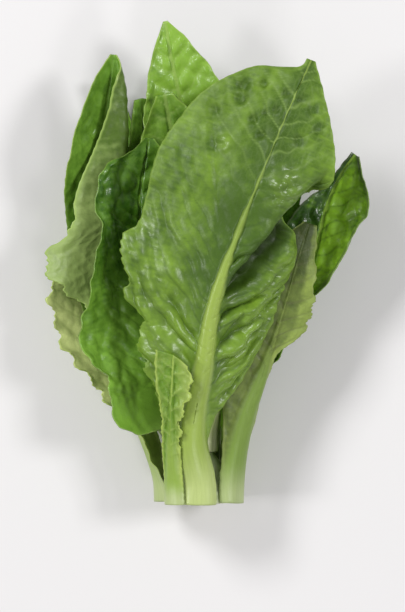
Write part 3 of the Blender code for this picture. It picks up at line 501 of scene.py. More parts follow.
def leafSheet(leaf, along, columns, finely=False):
    # the inner face as rows of points from left margin to right, and what is known at each point
    rib, tangent, length = ribAlong(leaf, along)
    facing = np.radians(smoothKeys(leaf["facing"], along))
    inward = np.stack([np.sin(facing), 0 * facing, np.cos(facing)], axis=1)
    inward = unitVectors(inward - tangent * np.sum(inward * tangent, axis=1, keepdims=True))
    across = np.cross(tangent, inward) * leaf["hand"]
    place = (along, rib, tangent, inward, across, columns, finely)
    left = halfSheet(leaf, "left", -1, *place)
    right = halfSheet(leaf, "right", 1, *place)
    points, thick, reach, forward = [np.concatenate([a[:, :0:-1], b], axis=1) for a, b in zip(left, right)]
    return {"points": points, "thick": thick, "reach": reach, "inward": inward,
            "along": along[:, None] * length + forward, "length": length}


def plainRows(leaf, count):
    crowded = np.array(leaf["crowd"])
    return np.interp(np.linspace(0, 1, count + 1), crowded[:, 0], crowded[:, 1])


def gridCorners(rows, columns, hand):
    found = []
    for i in range(rows):
        for j in range(columns):
            a = i * (columns + 1) + j
            b, c, d = a + 1, a + columns + 2, a + columns + 1
            pair = [(a, b, c), (a, c, d)]
            found += pair if hand > 0 else [t[::-1] for t in pair]
    return found


def blurredGrid(grid):
    padded = np.pad(grid, ((1, 1), (1, 1), (0, 0)), mode="edge")
    around = padded[:-2, 1:-1] + padded[2:, 1:-1] + padded[1:-1, :-2] + padded[1:-1, 2:]
    return (2 * grid + around) / 6


def pushOff(points, thick, inward, placed):
    # how far each point has to move to stay clear of the leaves inside it and above the surface
    push = np.zeros_like(points)
    flat = points.reshape(-1, 3)
    near, beside = head["near"], head["beside"]
    for tree, otherThick, otherInward, low, high, corners in placed:
        facesInRow = len(corners) // (len(otherInward) - 1)
        close = np.all((flat > low - near) & (flat < high + near), axis=1) & (flat[:, 1] > head["footFree"])
        for k in np.nonzero(close)[0]:
            spot, normal, face, distance = tree.find_nearest(flat[k], near)
            if spot is None:
                continue
            i, j = divmod(k, points.shape[1])
            facing = otherInward[face // facesInRow]
            outward = -np.array(normal) * (1 if np.dot(normal, facing) > 0 else -1)
            need = head["clearance"] + otherThick[list(corners[face])].max()
            alike = np.dot(inward[i], facing)
            if alike < 0:
                outward, need = -outward, beside
            away = np.array(flat[k]) - np.array(spot)
            depth = float(np.dot(away, outward))
            beyondItsEdge = distance > head["touching"] and abs(depth) < distance / 2
            sideways = abs(alike) < head["alike"] or beyondItsEdge
            if sideways and distance < beside:
                move = away / distance * (beside - distance)
            elif not sideways and depth < need:
                move = outward * (need - depth)
            else:
                continue
            if np.linalg.norm(move) > np.linalg.norm(push[i, j]):
                push[i, j] = move
    push[..., 2] += np.maximum(thick - points[..., 2], 0)
    return push


def settledShifts():
    # the shift that lays each plain sheet clear of those inside it, from the heart outwards
    placed, shifts = [], {}
    for leaf in leavesFromHeart:
        columns = (np.arange(leaf["columns"] + 1) / leaf["columns"]) ** head["columnPower"]
        sheet = leafSheet(leaf, plainRows(leaf, leaf["rows"]), columns)
        points, thick, inward = sheet["points"], sheet["thick"], sheet["inward"]
        design = points.copy()
        start = rings[leaf["ring"]]["start"] + head["footHeld"]
        free = np.clip((design[..., 1:2] - start) / head["footEase"], 0, 1)
        for turn in range(head["easingTurns"]):
            push = pushOff(points, thick, inward, placed)
            if np.abs(push).max() < head["touching"]:
                break
            spread = blurredGrid(blurredGrid(push))
            moved = np.linalg.norm(push, axis=2, keepdims=True) > 0
            points = points + np.where(moved, push, spread) * free
            if turn < head["smoothedTurns"]:
                shift = points - design
                points = design + (shift + blurredGrid(shift)) / 2
        corners = gridCorners(points.shape[0] - 1, points.shape[1] - 1, leaf["hand"])
        flat = points.reshape(-1, 3)
        tree = BVHTree.FromPolygons(flat.tolist(), corners)
        placed.append((tree, thick.ravel(), inward, flat.min(0), flat.max(0), corners))
        shifts[leaf["node"]] = points - design
    return shifts


def resampled(grid, rows, columns):
    # a smooth surface through the values of a grid, read at fractional rows and columns
    def weights(at, count):
        low = np.clip(np.floor(at).astype(int), 0, count - 2)
        t = at - low
        w = [-0.5 * t + t**2 - 0.5 * t**3, 1 - 2.5 * t**2 + 1.5 * t**3,
             0.5 * t + 2 * t**2 - 1.5 * t**3, -0.5 * t**2 + 0.5 * t**3]
        index = [np.clip(low + k - 1, 0, count - 1) for k in range(4)]
        return index, w

    rowIndex, rowWeight = weights(rows, grid.shape[0])
    rowed = sum(grid[i] * w[:, None, None] for i, w in zip(rowIndex, rowWeight))
    columnIndex, columnWeight = weights(columns, grid.shape[1])
    return sum(rowed[:, j] * w[None, :, None] for j, w in zip(columnIndex, columnWeight))


def softNoise(x, y, size, seed, count=7):
    # a smooth random field between about -1 and 1 with swells of the given size
    draw = np.random.default_rng(seed)
    total = np.zeros(np.broadcast(x, y).shape)
    for k in range(count):
        turn = draw.uniform(0, 2 * np.pi)
        pace = 2 * np.pi / (size * draw.uniform(0.7, 1.5))
        total += np.sin((x * math.cos(turn) + y * math.sin(turn)) * pace + draw.uniform(0, 2 * np.pi))
    return total / math.sqrt(count) * 0.8


midrib = {
    "halfWidth": [(0, 12), (0.12, 10), (0.25, 7.4), (0.36, 5.8), (0.46, 4.2), (0.55, 2.6), (0.72, 1.1),
                  (0.9, 0.8), (1, 0.6)],
    "power": 4,
}
veins = {"spacing": 13.0, "lean": 0.62, "curve": 0.0045, "width": 0.8, "height": 0.35, "groove": 0.3}
surface = {
    "columnPower": 1.08,
    "puffWidth": 4.0,  # the blade is fully puffed this far from a side vein
    "swell": 0.6, "swellSize": 26,
    # the two tone values of the quilt and the crinkles make the green lighter and darker with their relief:
    # painted light and shade
    "quiltSize": 13, "quiltPaintedShading": 0.14, "crinkleSize": 3.6, "crinklePaintedShading": 1.2,
    "creaseSides": (0.32, 1.8),  # its steep and its easy side, in widths
    # creaseShade and pitShade turn crease and pit depth into darker tone and the bulges into lighter tone:
    # painted shade and light
    "creaseShade": 0.07,
    "pitShade": 0.45, "pitLimits": (-0.4, 1),
    "glintSize": 9,
    "ruffleWaves": (3.1, 1.7), "ruffleWander": 60,
}
# Where a thing starts and where it is whole, along the leaf or across its half, but offRib in widths of the
# rib, ruffle in millimetres of half width and the two of a crease in its own length.
ramps = {
    "root": (0, 0.12), "tip": (0, 0.05), "veins": (0.10, 0.32), "open": (0.12, 0.3), "quilt": (0.16, 0.26),
    "quiltEnd": (0.5, 0.62), "ribThin": (0.45, 0.7), "foot": (0.02, 0.17), "stalk": (0.10, 0.24),
    "margin": (0.86, 1), "taper": (0.93, 1), "crinkle": (0.3, 0.7),
    "offRib": (0.9, 1.9), "ruffle": (6, 20), "creaseStart": (-0.1, 0.25), "creaseEnd": (1.0, 1.3),
}


def ramp(word, value):
    return smoothStep(*ramps[word], value)


def sideVeins(sheet, width, seed):
    # how near each point is to a side vein, 1 on it: they leave the midrib in turn and curve to the tip
    draw = np.random.default_rng(seed)
    out = np.abs(sheet["reach"])
    onRight = sheet["reach"] > 0
    wiggle = 3.0 * softNoise(sheet["reach"], sheet["along"], 38, seed + 50)
    wiggle = wiggle + 0.9 * softNoise(sheet["reach"], sheet["along"], 11, seed + 51)
    start = sheet["along"] - veins["lean"] * out - veins["curve"] * out**2 + wiggle
    nearest = np.full(out.shape, 1e3)
    count = int(sheet["length"] / veins["spacing"]) + 8
    for side in (0, 1):
        for k in range(-3, count):
            place = (k + 0.5 * side + draw.uniform(-0.16, 0.16)) * veins["spacing"]
            gap = np.abs(start - place)
            nearest = np.where(onRight == bool(side), np.minimum(nearest, gap), nearest)
    slant = veins["lean"] + 2 * veins["curve"] * out
    gap = nearest / np.sqrt(1 + slant**2)
    across = np.clip(out / np.maximum(width, 1), 0, 1)
    fade = (1 - 0.65 * across) * ramp("veins", sheet["along"] / sheet["length"])
    return gap, fade, start


def closedLeafMesh(name, inner, outer, hand):
    # two grids of points sewn together along their rim
    rows, columns = inner.shape[:2]
    index = np.arange(rows * columns).reshape(rows, columns)
    quads = np.stack([index[:-1, :-1], index[:-1, 1:], index[1:, 1:], index[1:, :-1]], axis=-1).reshape(-1, 4)
    other = quads[:, ::-1] + rows * columns
    loop = np.concatenate([index[0, :-1], index[:-1, -1], index[-1, :0:-1], index[:0:-1, 0]])
    after = np.roll(loop, -1)
    rim = np.stack([after, loop, loop + rows * columns, after + rows * columns], axis=1)
    faces = np.concatenate([quads, other, rim])
    if hand < 0:
        faces = faces[:, ::-1]
    mesh = bpy.data.meshes.new(name)
    mesh.from_pydata(np.concatenate([inner.reshape(-1, 3), outer.reshape(-1, 3)]) * mm, [], faces.tolist())
    return mesh


def setAttribute(mesh, name, values, kind="FLOAT"):
    field = mesh.attributes.new(name, kind, "POINT")
    field.data.foreach_set("value" if kind == "FLOAT" else "vector", np.ravel(values).astype(np.float32))


def newObject(name, data):
    made = bpy.data.objects.new(name, data)
    bpy.context.scene.collection.objects.link(made)
    return made


def roundSpot(sheet, across, along, radius, power=1):
    # 1 in the middle of a round spot, fading out beyond its radius
    away = (sheet["reach"] - across) ** 2 + (sheet["along"] - along) ** 2
    return np.exp(-((away / radius**2) ** power))


def bladeFields(leaf, sheet, along, columns):
    # how far the blade stands out at each point, and the masks that the colours need
    reach, run, seed = sheet["reach"], sheet["along"], leaf["seed"]
    onLeft, row = reach < 0, along[:, None]
    share = np.concatenate([columns[:0:-1], columns])[None, :]
    halfWidth = np.abs(reach) / np.maximum(share, 1e-6)
    gap, fade, start = sideVeins(sheet, halfWidth, seed)
    ribWidth = smoothKeys(midrib["halfWidth"], along)[:, None] * leaf["ribScale"]
    offRib = ramp("offRib", np.abs(reach) / ribWidth)
    blade = offRib * (1 - ramp("margin", share) * 0.6)
    relief = leaf["puff"] * (1 - np.exp(-((gap / surface["puffWidth"]) ** 2))) * fade * blade
    relief = relief + surface["swell"] * softNoise(reach, run, surface["swellSize"], seed + 20) * blade * fade
    fades = ramp("quilt", row) * (1 - 0.85 * ramp("quiltEnd", row))
    quilted = np.where(onLeft, *leaf["quilt"]) * fades * blade
    quilted = quilted * softNoise(start, 0.25 * reach, surface["quiltSize"], seed + 40, 9)
    crinkle = np.where(onLeft, *leaf["crinkle"]) * ramp("crinkle", share)
    lines = softNoise(0.3 * reach, run, surface["crinkleSize"], seed + 60, 9)
    relief = relief + quilted + crinkle * blade * lines

    # Painted shade and light: the tone is darkened along the creases and in the pits and lightened on the
    # bulges (dimples of negative depth).
    paintedReliefShade = np.zeros(reach.shape)
    for (fromReach, fromRun), (toReach, toRun), depth, wide in leaf["creases"]:
        span = math.hypot(toReach - fromReach, toRun - fromRun)
        ahead, beside = (toReach - fromReach) / span, (toRun - fromRun) / span
        off = (reach - fromReach) * beside - (run - fromRun) * ahead
        past = ((reach - fromReach) * ahead + (run - fromRun) * beside) / span
        steep = np.exp(-((off / (np.where(off < 0, *surface["creaseSides"]) * wide)) ** 2))
        ends = ramp("creaseStart", past) * (1 - ramp("creaseEnd", past))
        relief = relief + depth * steep * ends * offRib
        paintedReliefShade = paintedReliefShade + surface["creaseShade"] * depth * steep * ends * offRib
    for *spot, depth in leaf["dimples"]:
        pit = roundSpot(sheet, *spot, power=2)
        relief = relief + depth * pit
        paintedReliefShade = paintedReliefShade + surface["pitShade"] * pit * np.clip(depth, *surface["pitLimits"])
    # glints raise the gloss and crumple the blade; the tint spots darken and lighten the tone: painted
    # shadow, painted light and patches of the leaf's own green
    glint, tintAndPaintedShading = [
        sum((change * roundSpot(sheet, *spot) for *spot, change in leaf[word]), np.zeros(reach.shape))
        for word in ("glints", "tintsAndPaintedShading")
    ]
    relief = relief + np.maximum(glint, 0) * blade * softNoise(reach, run, surface["glintSize"], seed + 70, 9)
    coarse, small = surface["ruffleWaves"]
    wander = 2 * softNoise(reach * 0, run, surface["ruffleWander"], seed + 30)
    ruffle = leaf["ruffle"] * (np.sin(run / coarse + wander) + 0.5 * np.sin(run / small + seed))
    ruffle = ruffle * share**6 * ramp("ruffle", halfWidth)
    inside = ramp("root", row) * ramp("tip", 1 - row)
    return {
        "relief": (relief + ruffle) * inside, "vein": np.exp(-((gap / veins["width"]) ** 2)) * fade,
        "quilted": surface["quiltPaintedShading"] * quilted, "crinkled": surface["crinklePaintedShading"] * crinkle * lines,
        "paintedReliefShade": paintedReliefShade, "glint": glint, "tintAndPaintedShading": tintAndPaintedShading, "share": share, "onLeft": onLeft,
        "ribWidth": ribWidth, "halfWidth": halfWidth, "open": blade * inside * ramp("open", row),
    }


def paintLeaf(mesh, leaf, sheet, along, field):
    # what the finishes read, on the points of the inner face and then on those of the outer one
    reach, share, row = sheet["reach"], field["share"], along[:, None]

    def keyed(word):
        return smoothKeys(leaf[word], along)[:, None]

    signedShare = np.where(field["onLeft"], -1, 1) * share
    backTone = keyed("tone")
    backTone = backTone + np.interp(signedShare, *zip(*leaf["sideTone"]))
    # Painted light and shade: the tone falls in the creases, pits and quilt hollows, rises on the bulges and
    # quilt ridges, follows the crinkles and takes the tint spots.
    backTone = backTone - field["paintedReliefShade"] + field["crinkled"] + field["tintAndPaintedShading"] - field["quilted"]
    faceTone = np.broadcast_to(keyed("faceTone"), reach.shape) if "faceTone" in leaf else backTone
    edge = np.maximum(np.where(field["onLeft"], *leaf["edges"]), 1e-3)
    rib = np.exp(-((np.abs(reach) / field["ribWidth"]) ** 8)) * (1 - 0.5 * ramp("ribThin", row))
    place = np.stack([reach, sheet["along"], reach * 0], axis=-1)
    setAttribute(mesh, "leafPlace", [place, place], "FLOAT_VECTOR")
    setAttribute(mesh, "tone", [faceTone, backTone])
    setAttribute(mesh, "side", [np.ones(reach.shape), -np.ones(reach.shape)])
    for word, values in {
        "vein": field["vein"], "open": field["open"],
        "rib": rib * (1 - smoothStep(*leaf["ribFade"], row)),
        "gloss": np.clip(keyed("gloss") + field["glint"], 0, 1.2),
        "pale": smoothStep(*leaf["pale"], row),
        "foot": 1 - ramp("foot", row),
        "stalk": 1 - ramp("stalk", row + 0.05 * share),
        "margin": 1 - smoothStep(0.3 * edge, edge, field["halfWidth"] * (1 - share)),
    }.items():
        setAttribute(mesh, word, [np.broadcast_to(values, reach.shape)] * 2)


def sheetNormal(points, hand):
    return unitVectors(np.cross(np.gradient(points, axis=1), np.gradient(points, axis=0))) * hand


def fineLeaf(leaf, shift, origin):
    # the leaf's fine mesh: its veins, its puffed blade and its ruffled margin, around the settled sheet
    fineRows, fineColumns = leaf["fine"]
    hand, coarse = leaf["hand"], leaf["columns"]
    along = plainRows(leaf, fineRows)
    columns = np.linspace(0, 1, fineColumns + 1) ** surface["columnPower"]
    sheet = leafSheet(leaf, along, columns, finely=True)
    halfPlaces = columns ** (1 / head["columnPower"]) * coarse
    places = np.concatenate([coarse - halfPlaces[:0:-1], coarse + halfPlaces])
    rows = np.linspace(0, leaf["rows"], fineRows + 1)
    points = sheet["points"] + resampled(blurredGrid(shift), rows, places)
    field = bladeFields(leaf, sheet, along, columns)
    points = points + sheetNormal(points, hand) * field["relief"][..., None]
    normal = sheetNormal(points, hand)

    swelling = sheet["thick"] - head["blade"]
    taper = 1 - 0.35 * ramp("taper", field["share"])
    thick = sheet["thick"] * taper + veins["height"] * field["vein"] * np.sign(leaf["puff"])
    sink = veins["groove"] * field["vein"] + 0.5 * (swelling / max(swelling.max(), 1e-6))
    inner, outer = points - normal * sink[..., None], points - normal * thick[..., None]
    outer[..., 2] = np.maximum(outer[..., 2], head["pressed"])
    inner[..., 2] = np.maximum(inner[..., 2], head["pressed"] + 0.6)
    mesh = closedLeafMesh(leaf["node"], inner + origin, outer + origin, hand)
    paintLeaf(mesh, leaf, sheet, along, field)
    return newObject(leaf["node"] + "_leaf", mesh)


def plugIn(tree, node, inputs):
    # each input takes a plain value or another node's socket
    for place, value in inputs.items():
        if hasattr(value, "is_linked"):
            tree.links.new(value, node.inputs[place])
        else:
            node.inputs[place].default_value = value


def newNode(tree, kind, inputs=None, **settings):
    node = tree.nodes.new(kind)
    for word, value in settings.items():
        setattr(node, word, value)
    plugIn(tree, node, inputs or {})
    return node


def mathNode(tree, operation, *values, clamp=False):
    settings = {"operation": operation, "use_clamp": clamp}
    return newNode(tree, "ShaderNodeMath", dict(enumerate(values)), **settings).outputs[0]


def product(tree, first, *others, clamp=False):
    for value in others:
        first = mathNode(tree, "MULTIPLY", first, value, clamp=clamp)
    return first


def vectorNode(tree, operation, *values):
    return newNode(tree, "ShaderNodeVectorMath", dict(enumerate(values)), operation=operation).outputs[0]


def noiseNode(tree, vector, scale, detail):
    inputs = {"Vector": vector, "Scale": scale, "Detail": detail}
    return newNode(tree, "ShaderNodeTexNoise", inputs).outputs["Fac"]


def cellWalls(tree, vector, scale, width):
    # 1 on the walls between scattered cells, 0 away from them
    cells = newNode(tree, "ShaderNodeTexVoronoi", {"Vector": vector, "Scale": scale},
                    voronoi_dimensions="2D", feature="DISTANCE_TO_EDGE")
    away = mathNode(tree, "DIVIDE", cells.outputs["Distance"], width)
    return mathNode(tree, "SUBTRACT", 1, away, clamp=True)


def mixColour(tree, factor, *colours):
    first, second = [(*colour, 1) if isinstance(colour, tuple) else colour for colour in colours]
    return newNode(tree, "ShaderNodeMix", {0: factor, 6: first, 7: second}, data_type="RGBA").outputs[2]


def readAttribute(tree, name, output="Fac"):
    return newNode(tree, "ShaderNodeAttribute", attribute_name=name).outputs[output]


def bumpNode(tree, height, strength, distance):
    inputs = {"Height": height, "Strength": strength, "Distance": distance}
    return newNode(tree, "ShaderNodeBump", inputs).outputs[0]


def newMaterial(name):
    made = bpy.data.materials.new(name)
    made.use_nodes = True
    return made, made.node_tree, made.node_tree.nodes["Principled BSDF"]


blister = {
    "stretch": 1.25, "warpScale": 1.1, "warp": (0.55, 0.55, 0), "smooth": 0.55,
    "radius": 0.62, "wall": 0.13, "netHeight": 0.12, "seedStep": 7.0,
}


def blisterTree():
    # blisters between the veins: they stand up on the face and sink on the back, with a fine net between
    tree = bpy.data.node_groups.new("leafBlisters", "GeometryNodeTree")
    tree.interface.new_socket("Geometry", in_out="OUTPUT", socket_type="NodeSocketGeometry")
    identifiers = {}
    for name, kind in (("Geometry", "Geometry"), ("Blister size", "Float"), ("Blister height", "Float"),
                       ("Net height", "Float"), ("Seed", "Float"), ("Face finish", "Material"),
                       ("Back finish", "Material")):
        socket = tree.interface.new_socket(name, in_out="INPUT", socket_type="NodeSocket" + kind)
        identifiers[name] = socket.identifier
    given = tree.nodes.new("NodeGroupInput")
    result = tree.nodes.new("NodeGroupOutput")

    def named(name, kind="FLOAT"):
        node = newNode(tree, "GeometryNodeInputNamedAttribute", {"Name": name}, data_type=kind)
        return node.outputs["Attribute"]

    def stored(geometry, name, value):
        inputs = {"Geometry": geometry, "Name": name, "Value": value}
        settings = {"data_type": "FLOAT", "domain": "POINT"}
        return newNode(tree, "GeometryNodeStoreNamedAttribute", inputs, **settings).outputs[0]

    side, openBlade = named("side"), named("open")
    size = given.outputs["Blister size"]
    cell = {0: size, 1: product(tree, size, blister["stretch"]), 2: 1}
    spot = vectorNode(tree, "DIVIDE", named("leafPlace", "FLOAT_VECTOR"),
                      newNode(tree, "ShaderNodeCombineXYZ", cell).outputs[0])
    seeded = newNode(tree, "ShaderNodeCombineXYZ", {0: given.outputs["Seed"]}).outputs[0]
    spot = vectorNode(tree, "ADD", spot, seeded)
    bent = newNode(tree, "ShaderNodeTexNoise", {"Vector": spot, "Scale": blister["warpScale"], "Detail": 1},
                   noise_dimensions="2D")
    warped = vectorNode(tree, "MULTIPLY_ADD", bent.outputs["Color"], blister["warp"], spot)
    cells = newNode(tree, "ShaderNodeTexVoronoi",
                    {"Vector": warped, "Scale": 1, "Smoothness": blister["smooth"]},
                    voronoi_dimensions="2D", feature="SMOOTH_F1")
    radius = mathNode(tree, "DIVIDE", cells.outputs["Distance"], blister["radius"])
    dome = mathNode(tree, "SUBTRACT", 1, mathNode(tree, "POWER", radius, 2), clamp=True)
    net = cellWalls(tree, warped, 1, blister["wall"])
    rise = product(tree, dome, given.outputs["Blister height"], side)
    onBack = mathNode(tree, "MULTIPLY_ADD", side, -0.5, 0.5)
    ridge = product(tree, net, given.outputs["Net height"], onBack)
    total = product(tree, mathNode(tree, "ADD", rise, ridge), openBlade, mm)
    normal = tree.nodes.new("GeometryNodeInputNormal").outputs[0]
    lift = newNode(tree, "ShaderNodeVectorMath", {0: normal, "Scale": total}, operation="SCALE").outputs[0]

    flow = stored(given.outputs["Geometry"], "net", product(tree, net, openBlade))
    flow = stored(flow, "dome", product(tree, dome, openBlade))
    flow = newNode(tree, "GeometryNodeSetPosition", {"Geometry": flow, "Offset": lift}).outputs[0]
    flow = newNode(tree, "GeometryNodeRealizeInstances", {0: flow}).outputs[0]
    for word, test in (("Back finish", "LESS_THAN"), ("Face finish", "GREATER_THAN")):
        chosen = mathNode(tree, test, side, 0.9)
        inputs = {"Geometry": flow, "Selection": chosen, "Material": given.outputs[word]}
        flow = newNode(tree, "GeometryNodeSetMaterial", inputs).outputs[0]
    plugIn(tree, result, {0: flow})
    return tree, identifiers


# The leaf tissue that all finishes share; a noise is its scale and detail.
tissue = {
    "patches": (45, 4), "specks": (420, 2), "mottle": (160, 3),
    # the hollow, shadow and shadowDepth values paint shade: darker backs over the blisters and a shadow green
    # for a tone below 0
    "patchTone": 0.9, "mottleTone": 1.1, "hollowShade": 0.25, "shadow": -0.75, "shadowDepth": 0.3,
    "fineNet": (0.36, 0.10), "netLine": 0.22, "fineLine": 0.16, "veinLine": 0.75,
    "marginTint": 0.7, "stalkTint": 0.8, "footPower": 1.4,
    "streaks": (1.0, 0.05, 0), "stripes": (0.9, 2), "stripeTint": 0.28, "stripeDepth": 0.45,
    "netBump": 0.4, "speckBump": 0.25, "mottleBump": 0.6, "bump": (0.3, 0.0005),
    "glossSpan": -0.12, "specular": 0.3, "coat": (0.5, 0.35),
}


def leafFinish(name, look, back):
    made, tree, shader = newMaterial(name)
    where = newNode(tree, "ShaderNodeTexCoord").outputs["Object"]
    place = readAttribute(tree, "leafPlace", "Vector")
    vein, net, dome, rib, foot, stalk, margin, tone, gloss, nearTip = [
        readAttribute(tree, word)
        for word in ("vein", "net", "dome", "rib", "foot", "stalk", "margin", "tone", "gloss", "pale")
    ]
    patches, specks, mottle = [
        noiseNode(tree, where, *tissue[word]) for word in ("patches", "specks", "mottle")
    ]
    varied = [
        mathNode(tree, "MULTIPLY_ADD", noise, tissue[word], -0.5 * tissue[word])
        for noise, word in ((patches, "patchTone"), (mottle, "mottleTone"))
    ]
    blend = mathNode(tree, "ADD", tone, mathNode(tree, "ADD", *varied), clamp=True)
    blade = mixColour(tree, blend, look["deep"], look["light"])
    if back:
        # Painted shade: on the backs the blade darkens toward the deep green over each blister, where most
        # backs sink in.
        blade = mixColour(tree, product(tree, dome, tissue["hollowShade"]), blade, look["deep"])
    # Painted shadow: where the tone falls below 0 the green darkens toward a shadow green, for parts in shade
    # or folded under and for the darker tips.
    paintedShadowGreen = tuple(tissue["shadowDepth"] * c for c in look["deep"])
    blade = mixColour(tree, product(tree, tone, tissue["shadow"], clamp=True), blade, paintedShadowGreen)

    fineNet = cellWalls(tree, place, *tissue["fineNet"])
    lines = mathNode(tree, "MAXIMUM", product(tree, net, tissue["netLine"]),
                     product(tree, fineNet, tissue["fineLine"]))
    lines = mathNode(tree, "MAXIMUM", lines, product(tree, vein, tissue["veinLine"]), clamp=True)
    colour = mixColour(tree, lines, blade, mixColour(tree, nearTip, look["vein"], look["pale"]))
    for factor, word in (
        (product(tree, margin, tissue["marginTint"]), "edge"),
        (product(tree, stalk, tissue["stalkTint"], clamp=True), "rib"),
        (rib, "rib"),
        (mathNode(tree, "POWER", foot, tissue["footPower"]), "foot"),
    ):
        colour = mixColour(tree, factor, colour, look[word])
    along = vectorNode(tree, "MULTIPLY", place, tissue["streaks"])
    stripes = noiseNode(tree, along, *tissue["stripes"])  # fine lengthwise lines of the rib
    onStalk = mathNode(tree, "MAXIMUM", rib, stalk)
    shade = product(tree, mathNode(tree, "MULTIPLY_ADD", stripes, 1.4, -0.4, clamp=True), onStalk)
    shade = product(tree, shade, tissue["stripeTint"])
    colour = mixColour(tree, shade, colour, tuple(tissue["stripeDepth"] * c for c in look["rib"]))

    bumps = product(tree, fineNet, tissue["netBump"])
    for noise, height in ((specks, tissue["speckBump"]), (mottle, tissue["mottleBump"]), (stripes, onStalk)):
        bumps = mathNode(tree, "ADD", bumps, product(tree, noise, height))
    coatWeight, coatRoughness = look.get("coat", tissue["coat"])
    plugIn(tree, shader, {
        "Base Color": colour,
        "Normal": bumpNode(tree, bumps, *tissue["bump"]),
        "Roughness": mathNode(tree, "MULTIPLY_ADD", gloss, tissue["glossSpan"], look["shine"]),
        "Specular IOR Level": tissue["specular"],
        "Coat Weight": product(tree, gloss, coatWeight),
        "Coat Roughness": coatRoughness,
    })
    lit = mixColour(tree, 0.5, colour, look["light"])
    through = newNode(tree, "ShaderNodeBsdfTranslucent", {"Color": lit})
    mixed = newNode(tree, "ShaderNodeMixShader",
                    {0: look["glow"], 1: shader.outputs[0], 2: through.outputs[0]})
    plugIn(tree, tree.nodes["Material Output"], {"Surface": mixed.outputs[0]})
    return made


def withBlisters(piece, leaf, tree, identifiers, face, back):
    # the modifier's result becomes the piece's plain mesh
    size, height = leaf["blisters"]
    blisters = piece.modifiers.new("blisters", "NODES")
    blisters.node_group = tree
    values = {"Blister size": size, "Blister height": height, "Net height": blister["netHeight"],
              "Seed": leaf["seed"] * blister["seedStep"], "Face finish": face, "Back finish": back}
    for word, value in values.items():
        blisters[identifiers[word]] = value
    graph = bpy.context.evaluated_depsgraph_get()
    mesh = bpy.data.meshes.new_from_object(piece.evaluated_get(graph))
    piece.modifiers.clear()
    piece.data = mesh
    spots = np.empty(len(mesh.vertices) * 3, np.float32)
    mesh.vertices.foreach_get("co", spots)
    spots[2::3] = np.maximum(spots[2::3], 0)  # nothing reaches below the surface that it lies on
    mesh.vertices.foreach_set("co", spots)
    mesh.update()
    mesh.shade_smooth()


stemLook = {
    "flesh": (0.70, 0.74, 0.50), "green": (0.46, 0.58, 0.26), "cut": (0.52, 0.36, 0.20), "length": 56.0,
    "turns": 96, "shine": 0.42, "patches": (120, 4), "fibres": (900, 2), "bump": (0.4, 0.0006),
    "ringPace": 1.1,
}


def stemFinish():
    made, tree, shader = newMaterial("stemFlesh")
    where = newNode(tree, "ShaderNodeTexCoord").outputs["Object"]
    patches, fibres = [noiseNode(tree, where, *stemLook[word]) for word in ("patches", "fibres")]
    side = mixColour(tree, patches, stemLook["flesh"], stemLook["green"])
    ringed = mathNode(tree, "MULTIPLY_ADD", readAttribute(tree, "ring"), 0.5, 0.35)
    browned = product(tree, mathNode(tree, "MULTIPLY_ADD", patches, 1.6, -0.35, clamp=True), ringed)
    face = mixColour(tree, browned, stemLook["flesh"], stemLook["cut"])
    plugIn(tree, shader, {
        "Base Color": mixColour(tree, readAttribute(tree, "cut"), side, face),
        "Normal": bumpNode(tree, mathNode(tree, "ADD", fibres, patches), *stemLook["bump"]),
        "Roughness": stemLook["shine"],
    })
    return made


def stemProfile():
    # radius and height of the cut face, from its middle out, and then of the stepped side
    pace, edge, length = stemLook["ringPace"], rings["outer"]["radius"] - head["rootGap"], stemLook["length"]
    cutFace = [(r, 0.25 * math.sin(r * pace) + 0.25) for r in np.linspace(0.6, edge - 2, 18)]
    side = [(edge - 0.5, 0.6), (edge, 1.8), (edge - 0.3, 8)]
    for word, step in (("middle", 0.3), ("inner", 0.2)):
        radius, start = rings[word]["radius"] - head["rootGap"], rings[word]["start"]
        side += [(radius, start - 1), (radius - step, start + 4)]
    heart = rings["heart"]
    radius = heart["radius"] - head["rootGap"]
    side += [(radius, heart["start"] - 1), (radius - 0.4, length - 3), (heart["radius"] * 0.4, length - 0.4)]
    return cutFace, side


def stemPiece(origin):
    # a stepped cone turned about the head's axis, with growth rings on its cut face
    cutFace, side = stemProfile()
    profile, turns = cutFace + side, stemLook["turns"]
    points, cut, ringMask = [(0, 0.3, 0)], [1.0], [0.5]
    for place, (radius, along) in enumerate(profile):
        for k in range(turns):
            angle = 2 * math.pi * k / turns
            # not quite round
            lump = 1 + 0.012 * math.sin(3 * angle + along * 0.1) + 0.008 * math.sin(7 * angle + 1)
            points.append((radius * lump * math.sin(angle), along, radius * lump * math.cos(angle)))
            cut.append(1.0 if place < len(cutFace) else 0.0)
            ringMask.append(0.5 + 0.5 * math.sin(radius * stemLook["ringPace"]))
    points.append((0, stemLook["length"], 0))
    cut.append(0.0)
    ringMask.append(0.0)
    last, top = len(points) - 1, 1 + (len(profile) - 1) * turns
    faces = []
    for k in range(turns):
        after = (k + 1) % turns
        faces.append((0, 1 + after, 1 + k))
        for place in range(len(profile) - 1):
            a, b = 1 + place * turns + k, 1 + place * turns + after
            faces.append((a, b, b + turns, a + turns))
        faces.append((top + k, top + after, last))
    mesh = bpy.data.meshes.new("stem_core")
    centre = np.array([0, 0, head["axisHeight"]])
    mesh.from_pydata((np.array(points) + centre + origin) * mm, [], faces)
    setAttribute(mesh, "cut", cut)
    setAttribute(mesh, "ring", ringMask)
    mesh.materials.append(stemFinish())
    mesh.shade_smooth()
    return newObject("stem_core", mesh)


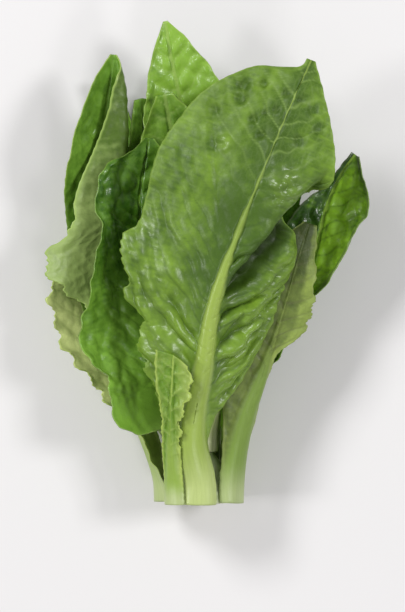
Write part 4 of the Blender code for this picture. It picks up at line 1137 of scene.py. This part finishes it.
# The picture, in pixels and millimetres, and the studio: each light's place, power and size.
view = {
    "pixel": 0.7, "centre": (202.5, 306.0), "axisPixel": 200.0, "buttPixel": 505.0,
    "height": 1560.0, "sharpAt": 60.0, "imageHeight": 612, "sensor": 36,
}
studioLights = {
    "key": ((-1.9, 1.9, 2.6), 67, 1.0),
    "left": ((-2.7, -0.2, 2.3), 28, 0.6),
    "right": ((2.3, 0.5, 2.6), 47, 0.7),
    "low": ((0.8, -2.3, 2.7), 14, 0.6),
}
studioLook = {"floor": (0.77, 0.755, 0.76, 1), "floorShine": 0.7, "floorSize": 8, "world": 0.34,
              "aim": (0, 0, 0.05)}


def stageFloor():
    bpy.ops.mesh.primitive_plane_add(size=studioLook["floorSize"])
    floor = bpy.context.object
    floor.name = "floor"
    made, tree, shader = newMaterial("paleFloor")
    plugIn(tree, shader, {"Base Color": studioLook["floor"], "Roughness": studioLook["floorShine"]})
    floor.data.materials.append(made)


def areaLight(name, place, power, size):
    lamp = bpy.data.lights.new(name, "AREA")
    lamp.energy = power
    lamp.size = size
    lit = newObject(name, lamp)
    lit.location = place
    lit.rotation_euler = (Vector(studioLook["aim"]) - lit.location).to_track_quat("-Z", "Y").to_euler()


def studioWorld():
    studio = bpy.data.worlds.new("studio")
    studio.use_nodes = True
    background = studio.node_tree.nodes["Background"]
    plugIn(studio.node_tree, background, {0: (1, 1, 1, 1), 1: studioLook["world"]})
    bpy.context.scene.world = studio


def lookDownCamera(origin):
    lens = bpy.data.cameras.new("camera")
    eye = newObject("camera", lens)
    bpy.context.scene.camera = eye
    across = (view["centre"][0] - view["axisPixel"]) * view["pixel"] + origin[0]
    along = (view["buttPixel"] - view["centre"][1]) * view["pixel"] + origin[1]
    eye.location = (across * mm, along * mm, view["height"] * mm)
    lens.sensor_fit = "VERTICAL"
    lens.sensor_width = lens.sensor_height = view["sensor"]
    halfImage = view["imageHeight"] / 2 * view["pixel"]
    lens.lens = view["sensor"] / 2 * (view["height"] - view["sharpAt"]) / halfImage


# The head's own zero, from the stem's box: its axis and its cut face
stemLow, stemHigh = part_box("stem")
origin = np.array([(stemLow[0] + stemHigh[0]) / 2 / mm, stemLow[1] / mm, -head["pressed"]])

print("settling the leaves")
shifts = settledShifts()

print("making the stem")
stem = stemPiece(origin)
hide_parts("stem")
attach(stem, "root")

blisters, identifiers = blisterTree()
finished = {name: leafFinish(name, look, name.startswith("back")) for name, look in finishes.items()}
for leaf in leavesFromHeart:
    print("making", leaf["node"])
    piece = fineLeaf(leaf, shifts[leaf["node"]], origin)
    withBlisters(piece, leaf, blisters, identifiers, finished[leaf["face"]], finished[leaf["back"]])
    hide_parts(leaf["node"])
    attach(piece, "root")

print("floor, light and camera")
stageFloor()
for name, (place, power, size) in studioLights.items():
    areaLight(name, place, power, size)
studioWorld()
bpy.context.scene.view_settings.view_transform = "Standard"
lookDownCamera(origin)
